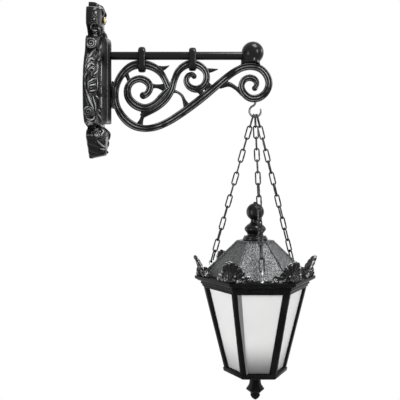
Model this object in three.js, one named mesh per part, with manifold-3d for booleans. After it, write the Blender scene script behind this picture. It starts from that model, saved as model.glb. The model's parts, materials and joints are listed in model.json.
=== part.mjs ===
// Hexagonal wall lantern on three chains, hung from a cast scroll bracket with a relief wall plate.
// Millimetres. X runs away from the wall, Y along the wall, Z up. The wall is the plane X = 0,
// and the origin is the middle of the wall plate's back.

import * as THREE from 'three';
import { mergeVertices } from 'three/addons/utils/BufferGeometryUtils.js';
import Module from 'manifold-3d';

const wasm = await Module();
wasm.setup();

// Driving dimensions

const GAP = 0.3;                 // running gap between pieces that touch
const LANTERN_X = 446;           // distance of the lantern's axis from the wall

// wall plate: height, half-width and front depth, from the top of the crest to the tip of the tail
const PLATE_OUTLINE = [
  [204, 22, 20], [197, 25, 34], [184, 26, 40], [181, 60, 39], [170, 66, 36], [150, 69, 35.4], [134, 66, 36],
  [126, 50, 42], [112, 34, 42], [104, 62, 33], [92, 74, 33], [64, 80, 33], [40, 96, 33], [12, 112, 33],
  [-30, 117, 33], [-84, 116, 33], [-112, 100, 33], [-126, 74, 34], [-131, 34, 42], [-143, 62, 50],
  [-155, 68, 48], [-172, 54, 46], [-190, 34, 45], [-203, 20, 44], [-207.5, 15, 24], [-212, 9, 5],
];
const PLATE_WALL = 7;            // casting thickness round the hollows behind
const PLATE_SQUARENESS = 3.4;    // 2 would be an ellipse, more is boxier
const BOSS_HALF_WIDTH = 24;      // solid rib down the middle of the back
const SEAT_DEPTH = 32;           // the spine's flat seat
const ROSETTE = { z: 159, front: 36.5, r: 9.5, petals: 8, peg: 3 };
const VOLUTES = [                // rolled ears on both edges: height, outer half-width, forward place, radius
  [77, 93, 17, 13], [-101, 119, 14, 13],
];
const FIXING_HOLES = [[62, 66], [62, -78]];   // holes for the wall screws: half-spacing along Y, height
const FIXING_RADIUS = 4.5;

// spine bar that carries the arm
const SPINE_TOP = 112;
const SPINE_BOTTOM = -119;
const SPINE_FRONT = 58;
const SPINE_HALF_WIDTH = 14;
const SPINE_SCREW_HEIGHTS = [92, 25, -100];
const FOOT_SCREW_HEIGHTS = [-22, -62];
const SCREW_BORE = 4.4;          // radius of the holes for both kinds of screw
const SPINE_SCREW = { tip: 46, seat: 9, shank: 4, head: 7.8, headHeight: 7.6 };
const FOOT_SCREW = { tip: 73, seat: 38, shank: 4, head: 7.6, headHeight: 5 };

// round bar and its ball terminal
const BAR_HEIGHT = 65.2;
const BAR_RADIUS = 10;
const BAR_END = 425;
const BALL = { x: 439, z: 73.2, r: 30 };
const NECK = { x: 433, r: 26, foot: 33 };
const PEG_RADIUS = 6;            // the ball's peg in the scroll
const TENON_RADIUS = 6;          // the bar's tenon in the spine
const FIT = 0.4;                 // extra radius of a bore that takes a bar or peg

// scroll casting: centre lines as [X, Z, band width], front to back thickness
const SCROLL_DEPTH = 18;
const LONG_SCROLL = [
  [212, -22, 18.9], [204, -3, 17.3], [191, 19, 18.9], [170, 35, 21.6], [144, 42, 24], [115, 38, 22.7],
  [90, 19, 20], [74, -8, 18.4], [69, -40, 17.3], [74, -73, 18.9], [92, -103, 21.6], [117, -123, 21.6],
  [147, -131, 18.9], [178, -127, 19.4], [211, -113, 20], [243, -93, 21], [275, -70, 21.6], [307, -45, 21.6],
  [336, -21, 20.5], [364, 3, 20], [390, 22, 19.4], [415, 34, 18.9], [441, 36, 18.9], [463, 28, 18.9],
  [478, 10, 18.9], [483, -11, 19.4], [475, -33, 20], [456, -48, 20.5], [433, -49, 20], [415, -35, 18.9],
  [409, -16, 17.3], [416, 0, 17.3], [431, 6, 17.8], [446, 0, 16.7], [450, -12, 14], [444, -23, 13.5],
];
const INNER_SCROLL = [
  [213, -27, 18.9], [197, -46, 24.3], [177, -65, 21.6], [150, -76, 22], [123, -68, 23.2], [104, -47, 21.6],
  [102, -22, 19.4], [114, -4, 18.4], [135, 3, 19.4], [153, -4, 20.5], [162, -18, 19.4], [157, -34, 17.8],
  [146, -43, 17.3],
];
const SECOND_SCROLL = [
  [138, -99, 13.5], [157, -87, 17.8], [181, -74, 17.8], [204, -54, 18.4], [220, -28, 18.4], [228, 0, 17.8],
  [240, 25, 18.9], [259, 40, 20.5], [279, 43.5, 21.5], [298, 37, 19.4], [312, 22, 17.3], [315, 3, 18.4],
  [306, -16, 18.9], [288, -25, 19.4], [268, -18, 17.8], [260, -2, 16.2], [265, 11, 14.6], [275, 15, 13],
  [282, 11, 12.4],
];
const TIES = [
  [[145, -89, 16], [140, -105, 10.5], [133, -124, 21]],
  [[96, 20, 16], [103, 5, 10.5], [110, -11, 16]],
  [[157, -17, 19], [180, -17, 11], [204, -21, 24]],
  [[219, -31, 11], [234, -32, 8], [248, -42, 8], [255, -57, 11], [264, -76, 24]],
  [[351, -12, 24], [376, -12, 13.5], [394, -22, 11], [413, -37, 16]],
  [[310, -5, 16], [324, -27, 27]],
  [[286, -22, 13.5], [310, -43, 13.5]],
  [[205, -8, 11], [224, -22, 16]],
];
const THORNS = [
  [[178, 31, 19], [196, 31, 13.5], [215, 39, 1.6]],
  [[309, 24, 16], [328, 26, 11], [346, 29, 1.6]],
];
const FOOT_PAD = [[58, -4, 11], [63, -40, 21.6], [60, -77, 13.5]];

// collars that clamp the scroll to the bar: place along the bar, bottom and top of the loop
const COLLARS = { collar_inner: [140.4, 20, 89.5], collar_outer: [277, 24, 87.5] };
const COLLAR_WIDTH = 20;
const COLLAR_CLEAR = 10.6;       // half of the loop's inner width
const COLLAR_WALL = 8.5;
const COLLAR_FLOOR = 7.4;        // thickness under the scroll's band

// hook and chains
const HOOK = { z: -84.2, r: 15.5, wire: 3.05, shankTop: -45, first: 108, last: 386 };
const LINKS_PER_CHAIN = 13;
const CHAIN_WIRE = 2;
const CHAIN_INNER_WIDTH = 8;
const LINK_BITE = 0.5;           // how far neighbouring links press into each other
const CHAIN_SPREAD = 6.5;        // spacing of the three top links along the hook's bowl
const TWIST_GROWTH = 1.8;        // above 1 the chains twist more towards their eyes
const EYE = { reach: 133, z: -503.4, r: 7.5, wire: 2.25 };
const CHAIN_AZIMUTHS = { chain_front: -90, chain_left: 150, chain_right: 30 };

// lantern: corner radii and heights
const CORNICE_TOP = -527;
const FRAME_TOP = { r: 139.5, z: -556.3 };
const FRAME_FOOT = { r: 84.5, z: -774 };
const FRAME_WALL = 7;            // wall of the cage, measured at its corners
const BASE_BOTTOM = -786;
const FRAME_SCREWS = { circle: 129, hole: 2.9 };
const BASE_SCREWS = { circle: 70, hole: 2.3 };
const WINDOW_TOP = -559;
const POST = { outside: 6.5, top: 14, foot: 10 };   // leg of a corner post: width outside, and inside at top and foot
const GLASS_THICKNESS = 4;
const ROOF_FOOT = { r: 139.6, z: -524 };
const ROOF_TOP = { r: 48, z: -432.3 };
const ROOF_WALL = 4.9;
const PALMETTE = { r: 151, z: -526.7, height: 56, halfWidth: 32, lean: 17 };
const CORNICE_R = 163;
const PALMETTE_ROLLS = [[26, 9.5], [48, 10]];   // curls beside a palmette: distance from the corner, radius
const ROLL_DEPTH = [3, 14];      // how far in from the cornice's edge they reach
const ROD_RADIUS = 5;
const BRIDGE = { z: -526.7, thickness: 3, halfLength: 115, halfWidth: 9, screw: 110.5 };

const RAD = Math.PI / 180;
const COS30 = Math.cos(30 * RAD);

// Finishes

const finish = (color, roughness, metalness) => () =>
  new THREE.MeshStandardMaterial({ color, roughness, metalness });
const blackPaint = finish(0x1c1c1d, 0.35, 0.4);
const hammeredPaint = finish(0x4a4b4c, 0.5, 0.5);
const zincSteel = finish(0x8d8f90, 0.35, 0.9);
const darkSteel = finish(0x55565a, 0.45, 0.8);
const gilt = finish(0xc9b27a, 0.4, 0.8);
const opalGlass = finish(0xe9e9e6, 0.5, 0);
const bulbGlass = finish(0xf4f2ea, 0.3, 0);
const brass = finish(0xb08d4a, 0.35, 0.9);
const ceramic = finish(0xe4e0d6, 0.4, 0);

// Geometry helpers

/** Six times the volume that a closed mesh encloses, positive when its faces point out. */
function enclosed(geometry) {
  const p = geometry.attributes.position;
  const index = geometry.index.array;
  const a = new THREE.Vector3();
  const b = new THREE.Vector3();
  const c = new THREE.Vector3();
  let sum = 0;
  for (let i = 0; i < index.length; i += 3) {
    a.fromBufferAttribute(p, index[i]);
    b.fromBufferAttribute(p, index[i + 1]);
    c.fromBufferAttribute(p, index[i + 2]);
    sum += a.dot(b.cross(c));
  }
  return sum;
}

/** Merges shared vertices, drops flat triangles and turns the faces outward. */
function closed(geometry) {
  const bare = geometry.clone();
  bare.deleteAttribute('normal');
  bare.deleteAttribute('uv');
  bare.morphAttributes = {};
  const merged = mergeVertices(bare, 1e-3);
  const old = merged.index.array;
  const kept = [];
  for (let i = 0; i < old.length; i += 3) {
    const [a, b, c] = [old[i], old[i + 1], old[i + 2]];
    if (a !== b && b !== c && c !== a) kept.push(a, b, c);
  }
  merged.setIndex(kept);
  if (enclosed(merged) < 0) {
    for (let i = 0; i < kept.length; i += 3) [kept[i], kept[i + 1]] = [kept[i + 1], kept[i]];
    merged.setIndex(kept);
  }
  return merged;
}

/** A manifold solid from a closed three.js geometry. */
function solid(geometry) {
  const whole = closed(geometry);
  return new wasm.Manifold(new wasm.Mesh({
    numProp: 3,
    vertProperties: new Float32Array(whole.attributes.position.array),
    triVerts: new Uint32Array(whole.index.array),
  }));
}

/** The geometry of a manifold solid. */
function shell(manifold) {
  const mesh = manifold.getMesh();
  const geometry = new THREE.BufferGeometry();
  geometry.setAttribute('position', new THREE.BufferAttribute(Float32Array.from(mesh.vertProperties), 3));
  geometry.setIndex(Array.from(mesh.triVerts));
  return geometry;
}

const join = (first, ...rest) => rest.reduce((sum, next) => sum.add(next), first);
const cut = (first, ...rest) => rest.reduce((left, next) => left.subtract(next), first);

/** Moves a geometry. */
const moved = (geometry, x, y, z) => geometry.translate(x, y, z);

/** A round bar between two points. */
function rod(from, to, radius, sides = 12, endRadius = radius) {
  const a = new THREE.Vector3(...from);
  const b = new THREE.Vector3(...to);
  const bar = new THREE.CylinderGeometry(endRadius, radius, a.distanceTo(b), sides);
  const turn = new THREE.Quaternion().setFromUnitVectors(new THREE.Vector3(0, 1, 0), b.clone().sub(a).normalize());
  bar.applyQuaternion(turn);
  return moved(bar, ...a.add(b).multiplyScalar(0.5).toArray());
}

/** A box between two corners. */
function block(low, high) {
  const size = high.map((value, i) => value - low[i]);
  const box = new THREE.BoxGeometry(...size);
  return moved(box, ...high.map((value, i) => (value + low[i]) / 2));
}

/** A turned solid about the vertical axis at x, from [radius, z] points; six sides give corners on +X. */
function turned(profile, x, sides = 24) {
  const points = profile.map(([r, z]) => new THREE.Vector2(r, z));
  if (profile[0][0] > 0 || profile[profile.length - 1][0] > 0) points.push(points[0].clone());
  const lathe = new THREE.LatheGeometry(points, sides, Math.PI / 2);
  lathe.rotateX(Math.PI / 2);
  return moved(lathe, x, 0, 0);
}

/** A hexagonal nut or head standing on z. */
function hexagon(x, y, z, radius, height) {
  const nut = new THREE.CylinderGeometry(radius, radius, height, 6);
  nut.rotateX(Math.PI / 2);
  return moved(nut, x, y, z + height / 2);
}

/** A smooth band in the XZ plane along points of [X, Z, width]. */
function band(points, depth, extra = 0, stepsPerPoint = 2) {
  const line = new THREE.CatmullRomCurve3(points.map(([x, z]) => new THREE.Vector3(x, 0, z)));
  const count = (points.length - 1) * stepsPerPoint;
  const outline = [[0.5, 0], [0.3, 0.5], [-0.3, 0.5], [-0.5, 0], [-0.3, -0.5], [0.3, -0.5]];
  const positions = [];
  for (let i = 0; i <= count; i += 1) {
    const t = i / count;
    const at = line.getPoint(t);
    const along = line.getTangent(t);
    const place = Math.min(t * (points.length - 1), points.length - 1.000001);
    const k = Math.floor(place);
    const width = THREE.MathUtils.lerp(points[k][2], points[k + 1][2], place - k) + extra;
    for (const [n, y] of outline) {
      positions.push(at.x - along.z * n * width, y * depth, at.z + along.x * n * width);
    }
  }
  return skin(positions, outline.length, count + 1, false);
}

/** Joins rings of points into a closed skin: a loop closes on itself, otherwise both ends are capped. */
function skin(positions, ringSize, ringCount, loop) {
  const index = [];
  const strips = loop ? ringCount : ringCount - 1;
  for (let i = 0; i < strips; i += 1) {
    for (let k = 0; k < ringSize; k += 1) {
      const a = i * ringSize + k;
      const b = i * ringSize + (k + 1) % ringSize;
      const c = ((i + 1) % ringCount) * ringSize + k;
      const d = ((i + 1) % ringCount) * ringSize + (k + 1) % ringSize;
      index.push(a, b, d, a, d, c);
    }
  }
  if (!loop) {
    const last = (ringCount - 1) * ringSize;
    for (let k = 1; k < ringSize - 1; k += 1) {
      index.push(0, k + 1, k, last, last + k, last + k + 1);
    }
  }
  const geometry = new THREE.BufferGeometry();
  geometry.setAttribute('position', new THREE.Float32BufferAttribute(positions, 3));
  geometry.setIndex(index);
  return geometry;
}

/** A closed loop of wire through points that lie in a plane with the given normal. */
function wireLoop(points, normal, radius, sides) {
  const positions = [];
  points.forEach((point, i) => {
    const before = points[(i + points.length - 1) % points.length];
    const after = points[(i + 1) % points.length];
    const out = after.clone().sub(before).cross(normal).normalize();
    for (let k = 0; k < sides; k += 1) {
      const angle = 2 * Math.PI * k / sides;
      const spot = point.clone().addScaledVector(out, radius * Math.cos(angle));
      positions.push(...spot.addScaledVector(normal, radius * Math.sin(angle)).toArray());
    }
  });
  return skin(positions, sides, points.length, true);
}

/** Turns a geometry about the lantern's axis. */
function aroundLantern(geometry, degrees) {
  geometry.translate(-LANTERN_X, 0, 0);
  geometry.rotateZ(degrees * RAD);
  return geometry.translate(LANTERN_X, 0, 0);
}

/** A screw standing along an axis, its shank end first and its head last. */
function screw(tip, seat, shankRadius, headRadius, headHeight) {
  const a = new THREE.Vector3(...tip);
  const b = new THREE.Vector3(...seat);
  const along = b.clone().sub(a).normalize();
  const root = b.clone().addScaledVector(along, -0.2);
  const top = b.clone().addScaledVector(along, headHeight);
  const shank = solid(rod(tip, seat, shankRadius, 6));
  return shell(join(shank, solid(rod(root.toArray(), top.toArray(), headRadius, 8))));
}

// Wall plate

/** Half-width and depth of the wall plate at a height. */
function plateSize(z) {
  const k = PLATE_OUTLINE.findIndex(([level]) => level <= z);
  if (k <= 0) return PLATE_OUTLINE[Math.max(k, 0)].slice(1);
  const [z0, w0, d0] = PLATE_OUTLINE[k - 1];
  const [z1, w1, d1] = PLATE_OUTLINE[k];
  const t = (z0 - z) / (z0 - z1);
  return [THREE.MathUtils.lerp(w0, w1, t), THREE.MathUtils.lerp(d0, d1, t)];
}

/** The plate's outer form between two heights, or the form of a hollow when it is drawn in. */
function plateForm(inset, high, low) {
  const levels = PLATE_OUTLINE.map(([z]) => z).filter((z) => z <= high && z >= low);
  const sides = 8;
  const positions = [];
  for (const level of levels) {
    const [halfWidth, depth] = plateSize(level);
    for (let k = 0; k <= sides; k += 1) {
      const angle = Math.PI * k / sides;
      const y = -Math.sign(Math.cos(angle)) * Math.abs(Math.cos(angle)) ** (2 / PLATE_SQUARENESS);
      const x = Math.sin(angle) ** (2 / PLATE_SQUARENESS);
      positions.push(inset > 0 && (k === 0 || k === sides) ? -5 : x * (depth - inset), y * (halfWidth - inset), level);
    }
  }
  return skin(positions, sides + 1, levels.length, false);
}

/** A cylinder lying along Y, used for the rolled ears. */
function volute(z, reach, x, radius, side) {
  return solid(rod([x, side * (reach - 34), z], [x, side * reach, z], radius, 10));
}

function wallPlate() {
  const outer = solid(plateForm(0, 210, -220));
  const hollows = [[104, -112], [170, 134]].map(([high, low]) => solid(plateForm(PLATE_WALL, high, low)));
  const boss = solid(block([0, -BOSS_HALF_WIDTH, -205], [60, BOSS_HALF_WIDTH, 190])).intersect(outer);
  const ears = VOLUTES.flatMap(([z, reach, x, radius]) => [-1, 1].map((side) => volute(z, reach, x, radius, side)));
  const pads = FIXING_HOLES.flatMap(([y, z]) => [-1, 1].map((side) =>
    solid(rod([0, side * y, z], [32, side * y, z], 12, 8))));
  const behind = solid(block([-20, -150, -230], [0, 150, 230]));
  const seat = solid(block([SEAT_DEPTH, -SPINE_HALF_WIDTH - 2, SPINE_BOTTOM - 2],
      [80, SPINE_HALF_WIDTH + 2, SPINE_TOP + 1]));
  const screws = SPINE_SCREW_HEIGHTS.flatMap((z) => [
    solid(rod([-1, 0, z], [50, 0, z], SCREW_BORE, 8)),
    solid(rod([-1, 0, z], [SPINE_SCREW.seat + FIT, 0, z], SPINE_SCREW.head + 0.6, 10)),
  ]);
  const fixings = FIXING_HOLES.flatMap(([y, z]) => [-1, 1].map((side) =>
    solid(rod([-1, side * y, z], [50, side * y, z], FIXING_RADIUS, 8))));
  const peg = solid(rod([20, 0, ROSETTE.z], [60, 0, ROSETTE.z], ROSETTE.peg + GAP, 8));
  const casting = join(cut(outer, ...hollows), boss, ...ears, ...pads);
  return shell(cut(casting, behind, seat, peg, ...screws, ...fixings));
}

/** Turned boss with petals round it, on a peg. */
function rosette() {
  const { z, front, r, petals: count } = ROSETTE;
  const boss = solid(rod([front, 0, z], [front + 8.5, 0, z], 6, 8, 3.5));
  const petals = Array.from({ length: count }, (_, i) => {
    const a = 2 * Math.PI * i / count;
    const petal = new THREE.SphereGeometry(4, 6, 3);
    petal.scale(0.8, 1, 1);
    return solid(moved(petal, front + 2.6, 0.8 * r * Math.cos(a), z + 0.8 * r * Math.sin(a)));
  });
  const plate = solid(rod([front, 0, z], [front + 3.6, 0, z], r, 12));
  const peg = solid(rod([22, 0, z], [front + 0.5, 0, z], ROSETTE.peg, 8));
  const behind = solid(block([0, -30, z - 30], [front, -3.5, z + 30]));
  const other = solid(block([0, 3.5, z - 30], [front, 30, z + 30]));
  return shell(cut(join(plate, boss, peg, ...petals), behind, other));
}

// Spine, bar and scroll

function spineBar() {
  const plan = new THREE.Shape();
  plan.moveTo(SEAT_DEPTH + GAP, -SPINE_HALF_WIDTH);
  plan.lineTo(48, -SPINE_HALF_WIDTH);
  plan.quadraticCurveTo(55, -SPINE_HALF_WIDTH, SPINE_FRONT, -5);
  plan.lineTo(SPINE_FRONT, 5);
  plan.quadraticCurveTo(55, SPINE_HALF_WIDTH, 48, SPINE_HALF_WIDTH);
  plan.lineTo(SEAT_DEPTH + GAP, SPINE_HALF_WIDTH);
  const tall = new THREE.ExtrudeGeometry(plan, { depth: SPINE_TOP - SPINE_BOTTOM, bevelEnabled: false,
      curveSegments: 4 });
  const bar = solid(moved(tall, 0, 0, SPINE_BOTTOM));
  const side = new THREE.Shape();
  side.moveTo(30, SPINE_BOTTOM - 1);
  side.lineTo(SPINE_FRONT - 2, SPINE_BOTTOM - 1);
  side.lineTo(SPINE_FRONT + 2, SPINE_BOTTOM + 3);
  side.lineTo(SPINE_FRONT + 2, SPINE_TOP - 16);
  side.quadraticCurveTo(SPINE_FRONT, SPINE_TOP - 1, 45, SPINE_TOP);
  side.lineTo(30, SPINE_TOP);
  const wide = new THREE.ExtrudeGeometry(side, { depth: 60, bevelEnabled: false, curveSegments: 5 });
  wide.rotateX(Math.PI / 2);
  const round = solid(moved(wide, 0, 30, 0));
  const holes = [solid(rod([43, 0, BAR_HEIGHT], [70, 0, BAR_HEIGHT], TENON_RADIUS + FIT, 12))];
  for (const z of SPINE_SCREW_HEIGHTS) holes.push(solid(rod([20, 0, z], [SPINE_SCREW.tip + 1, 0, z], SCREW_BORE, 10)));
  for (const z of FOOT_SCREW_HEIGHTS) {
    holes.push(solid(rod([20, 0, z], [70, 0, z], SCREW_BORE, 10)));
    holes.push(solid(rod([20, 0, z], [FOOT_SCREW.seat + FIT, 0, z], FOOT_SCREW.head + 0.6, 12)));
  }
  return shell(cut(bar.intersect(round), ...holes));
}

/** A screw that holds the bracket together from behind, at a height. */
const backScrew = (size, z) => screw([size.tip, 0, z], [size.seat, 0, z], size.shank, size.head, size.headHeight);

function bracketBar() {
  const tenon = solid(rod([44, 0, BAR_HEIGHT], [SPINE_FRONT + 1, 0, BAR_HEIGHT], TENON_RADIUS, 12));
  const bar = solid(rod([SPINE_FRONT + GAP, 0, BAR_HEIGHT], [BAR_END, 0, BAR_HEIGHT], BAR_RADIUS, 20));
  return shell(join(bar, tenon));
}

function barBall() {
  const ball = new THREE.SphereGeometry(BALL.r, 18, 12);
  ball.rotateX(Math.PI / 2);
  const neck = rod([NECK.x, 0, NECK.foot], [NECK.x, 0, BALL.z], NECK.r + 1, 16, NECK.r);
  const under = LONG_SCROLL.slice(19, 26);
  const saddle = solid(band(under, 80, 2 * GAP + FIT));
  const below = solid(block([380, -60, 0], [480, 60, 36]));
  const socket = solid(rod([380, 0, BAR_HEIGHT], [BAR_END + 0.6, 0, BAR_HEIGHT], BAR_RADIUS + FIT, 20));
  const peg = solid(rod([NECK.x, 0, 31], [NECK.x, 0, 50], PEG_RADIUS, 10));
  const body = cut(join(solid(moved(ball, BALL.x, 0, BALL.z)), solid(neck)), saddle, below, socket);
  return shell(join(body, peg));
}

function scrollBracket() {
  const members = [LONG_SCROLL, INNER_SCROLL, SECOND_SCROLL];
  const parts = members.map((points) => solid(band(points, SCROLL_DEPTH)));
  for (const points of TIES) parts.push(solid(band(points, SCROLL_DEPTH - 4, 0, 1)));
  for (const points of THORNS) parts.push(solid(band(points, 10, 0, 1)));
  parts.push(solid(band(FOOT_PAD, SCROLL_DEPTH + 2)));
  const tipBalls = [[144, -42, 10], [281, 10, 7.5], [445, -22, 8]].map(([x, z, r]) => {
    const tip = new THREE.SphereGeometry(r, 8, 5);
    tip.scale(1, 0.9, 1);
    return solid(moved(tip, x, 0, z));
  });
  const cuts = [solid(block([0, -40, -140], [SPINE_FRONT + GAP, 40, 60]))];
  for (const z of FOOT_SCREW_HEIGHTS) cuts.push(solid(rod([50, 0, z], [FOOT_SCREW.tip + 1, 0, z], SCREW_BORE, 10)));
  cuts.push(solid(rod([NECK.x, 0, 30], [NECK.x, 0, 60], PEG_RADIUS + FIT, 10)));
  cuts.push(solid(rod([LANTERN_X, 0, -80], [LANTERN_X, 0, HOOK.shankTop + 1], HOOK.wire + 0.5, 10)));
  return shell(cut(join(...parts, ...tipBalls), ...cuts));
}

/** A strap loop round the bar and the band of the scroll under it. */
function collar([x, bottom, top]) {
  const outer = COLLAR_CLEAR + COLLAR_WALL;
  const loop = new THREE.Shape();
  loop.moveTo(-outer, bottom + outer);
  loop.absarc(0, bottom + outer, outer, Math.PI, 2 * Math.PI);
  loop.lineTo(outer, top - outer);
  loop.absarc(0, top - outer, outer, 0, Math.PI);
  const inside = new THREE.Path();
  const floor = bottom + COLLAR_FLOOR;
  const crown = BAR_HEIGHT;
  inside.moveTo(-COLLAR_CLEAR, crown);
  inside.absarc(0, crown, COLLAR_CLEAR, Math.PI, 0, true);
  inside.lineTo(COLLAR_CLEAR, floor + 4);
  inside.lineTo(COLLAR_CLEAR - 4, floor);
  inside.lineTo(4 - COLLAR_CLEAR, floor);
  inside.lineTo(-COLLAR_CLEAR, floor + 4);
  loop.holes.push(inside);
  const bevel = 2;
  const options = { depth: COLLAR_WIDTH - 2 * bevel, bevelThickness: bevel, bevelSize: bevel, bevelOffset: -bevel,
    bevelSegments: 1, curveSegments: 5 };
  const bodyShape = new THREE.ExtrudeGeometry(loop, options);
  bodyShape.rotateX(Math.PI / 2);
  bodyShape.rotateZ(Math.PI / 2);
  moved(bodyShape, x - COLLAR_WIDTH / 2 + bevel, 0, 0);
  const bore = solid(rod([x - 30, 0, BAR_HEIGHT], [x + 30, 0, BAR_HEIGHT], COLLAR_CLEAR, 20));
  return shell(cut(solid(bodyShape), bore));
}

// Hook and chains

function hook() {
  const points = [[0, HOOK.shankTop], [0, -54], [0, -63]];
  const steps = 14;
  for (let i = 0; i <= steps; i += 1) {
    const a = (HOOK.first + (HOOK.last - HOOK.first) * i / steps) * RAD;
    points.push([HOOK.r * Math.cos(a), HOOK.z + HOOK.r * Math.sin(a)]);
  }
  const path = new THREE.CatmullRomCurve3(points.map(([x, z]) => new THREE.Vector3(LANTERN_X + x, 0, z)));
  const wire = new THREE.Shape();
  wire.absarc(0, 0, HOOK.wire, 0, 2 * Math.PI);
  return new THREE.ExtrudeGeometry(wire, { steps: 34, extrudePath: path, curveSegments: 4, bevelEnabled: false });
}

/** Where a chain starts in the hook, where it ends in its eye, and the eye's middle. */
function chainEnds(azimuth) {
  const slot = Math.sign(Math.round(Math.cos(azimuth * RAD) * 10)) * CHAIN_SPREAD;
  const tilt = Math.asin(slot / HOOK.r);
  const inner = HOOK.r - HOOK.wire;
  const top = new THREE.Vector3(LANTERN_X + inner * Math.sin(tilt), 0, HOOK.z - inner * Math.cos(tilt));
  const out = new THREE.Vector3(Math.cos(azimuth * RAD), Math.sin(azimuth * RAD), 0);
  const eye = new THREE.Vector3(LANTERN_X, 0, EYE.z).addScaledVector(out, EYE.reach);
  const along = eye.clone().sub(top).normalize();
  const bottom = eye.clone().addScaledVector(along, EYE.wire - EYE.r);
  return { top, bottom, eye, out };
}

/** One long link: half-round ends joined by straight sides. */
function chainLink(centre, along, across, innerLength) {
  const side = CHAIN_INNER_WIDTH / 2 + CHAIN_WIRE;
  const end = innerLength / 2 + CHAIN_WIRE;
  const quarter = [[end, side * 0.42], [end - side * 0.62, side]];
  const half = [quarter[1], quarter[0], ...quarter.map(([u, v]) => [u, -v])];
  const outline = [...half, ...half.map(([u, v]) => [-u, -v])];
  const points = outline.map(([u, v]) => centre.clone().addScaledVector(along, u).addScaledVector(across, v));
  return wireLoop(points, along.clone().cross(across).normalize(), CHAIN_WIRE, 4);
}

/** A taut chain of equal links, each a quarter turn on from the last, with a slow twist down its length. */
function chain(azimuth) {
  const { top, bottom, out } = chainEnds(azimuth);
  const along = bottom.clone().sub(top).normalize();
  top.addScaledVector(along, -GAP - LINK_BITE / 2);
  bottom.addScaledVector(along, GAP + LINK_BITE / 2);
  const pitch = bottom.distanceTo(top) / LINKS_PER_CHAIN;
  const square = (v) => v.clone().addScaledVector(along, -v.dot(along)).normalize();
  const first = square(new THREE.Vector3(0, 1, 0));
  const tangent = square(new THREE.Vector3(-out.y, out.x, 0));
  let twist = Math.atan2(first.clone().cross(tangent).dot(along), first.dot(tangent));
  if (twist > Math.PI / 2 + 0.01) twist -= Math.PI;
  if (twist < -Math.PI / 2 - 0.01) twist += Math.PI;
  const links = [];
  for (let i = 0; i < LINKS_PER_CHAIN; i += 1) {
    const angle = twist * (i / (LINKS_PER_CHAIN - 1)) ** TWIST_GROWTH + (i % 2) * Math.PI / 2;
    const across = first.clone().applyAxisAngle(along, angle);
    const centre = top.clone().addScaledVector(along, pitch * (i + 0.5));
    links.push(solid(chainLink(centre, along, across, pitch - LINK_BITE)));
  }
  return shell(join(...links));
}

/** Eye bolts: a ring on a stem that screws into the cornice. */
function eyeBolt(azimuth) {
  const { eye, out } = chainEnds(azimuth);
  const normal = new THREE.Vector3(-out.y, out.x, 0);
  const up = new THREE.Vector3(0, 0, 1);
  const points = Array.from({ length: 12 }, (_, i) => {
    const a = i * 30 * RAD;
    return eye.clone().addScaledVector(out, EYE.r * Math.cos(a)).addScaledVector(up, EYE.r * Math.sin(a));
  });
  const ring = solid(wireLoop(points, normal, EYE.wire, 6));
  const stem = solid(rod([eye.x, eye.y, -535.5], [eye.x, eye.y, EYE.z - EYE.r], 2.2, 8));
  const collarFoot = CORNICE_TOP + GAP;
  const flange = solid(rod([eye.x, eye.y, collarFoot], [eye.x, eye.y, collarFoot + 3], 4.5, 10));
  return shell(join(ring, stem, flange));
}

// Lantern casting

/** Clearance for a screw that holds the lamp bridge. */
const screwHole = (y) => solid(rod([LANTERN_X, y, -549], [LANTERN_X, y, -518], FRAME_SCREWS.hole, 8));

/** One of three upright holes on a circle about the lantern's axis, between two heights. */
const lanternHole = ({ circle, hole }, low, high, k) =>
  solid(aroundLantern(rod([LANTERN_X + circle, 0, low], [LANTERN_X + circle, 0, high], hole, 8), 120 * k));

function cornice() {
  const profile = [[120, CORNICE_TOP], [CORNICE_R, CORNICE_TOP], [CORNICE_R, -535.5], [156, -538], [148, -541.5],
      [145, -547],
    [143, -549], [141.5, -555.8], [136, -555.8], [137.5, -546], [143, -537.5], [120, -535]];
  const holes = [];
  for (let k = 0; k < 3; k += 1) {
    holes.push(lanternHole(FRAME_SCREWS, -545, -520, k));
  }
  for (let k = 0; k < 6; k += 1) {
    holes.push(solid(aroundLantern(rod([LANTERN_X + PALMETTE.r, 0, -534.5], [LANTERN_X + PALMETTE.r, 0, -520],
        3, 6), 60 * k)));
  }
  for (const azimuth of Object.values(CHAIN_AZIMUTHS)) {
    const { eye } = chainEnds(azimuth);
    holes.push(solid(rod([eye.x, eye.y, -536], [eye.x, eye.y, -520], 2.6, 8)));
  }
  for (const side of [-1, 1]) holes.push(screwHole(side * BRIDGE.screw));
  return shell(cut(solid(turned(profile, LANTERN_X, 6)), ...holes));
}

/** Matrix of a cage face: x across, y up the slope, z out of the face, from its top edge's middle. */
function facePlacing(k, inward) {
  const rise = FRAME_TOP.z - FRAME_FOOT.z;
  const slope = Math.atan2((FRAME_TOP.r - FRAME_FOOT.r) * COS30, rise);
  const across = new THREE.Vector3(1, 0, 0);
  const up = new THREE.Vector3(0, -Math.sin(slope), Math.cos(slope));
  const out = across.clone().cross(up);
  const origin = new THREE.Vector3(0, -FRAME_TOP.r * COS30, FRAME_TOP.z).addScaledVector(out, -inward);
  const face = new THREE.Matrix4().makeBasis(across, up, out).setPosition(origin);
  const turn = new THREE.Matrix4().makeRotationZ(60 * k * RAD);
  const place = new THREE.Matrix4().makeTranslation(LANTERN_X, 0, 0);
  return { matrix: place.multiply(turn).multiply(face), slope };
}

/** The cage's corner radius at a height. */
const cageRadius = (z) => FRAME_TOP.r + (z - FRAME_TOP.z) * (FRAME_TOP.r - FRAME_FOOT.r) / (FRAME_TOP.z - FRAME_FOOT.z);

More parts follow.
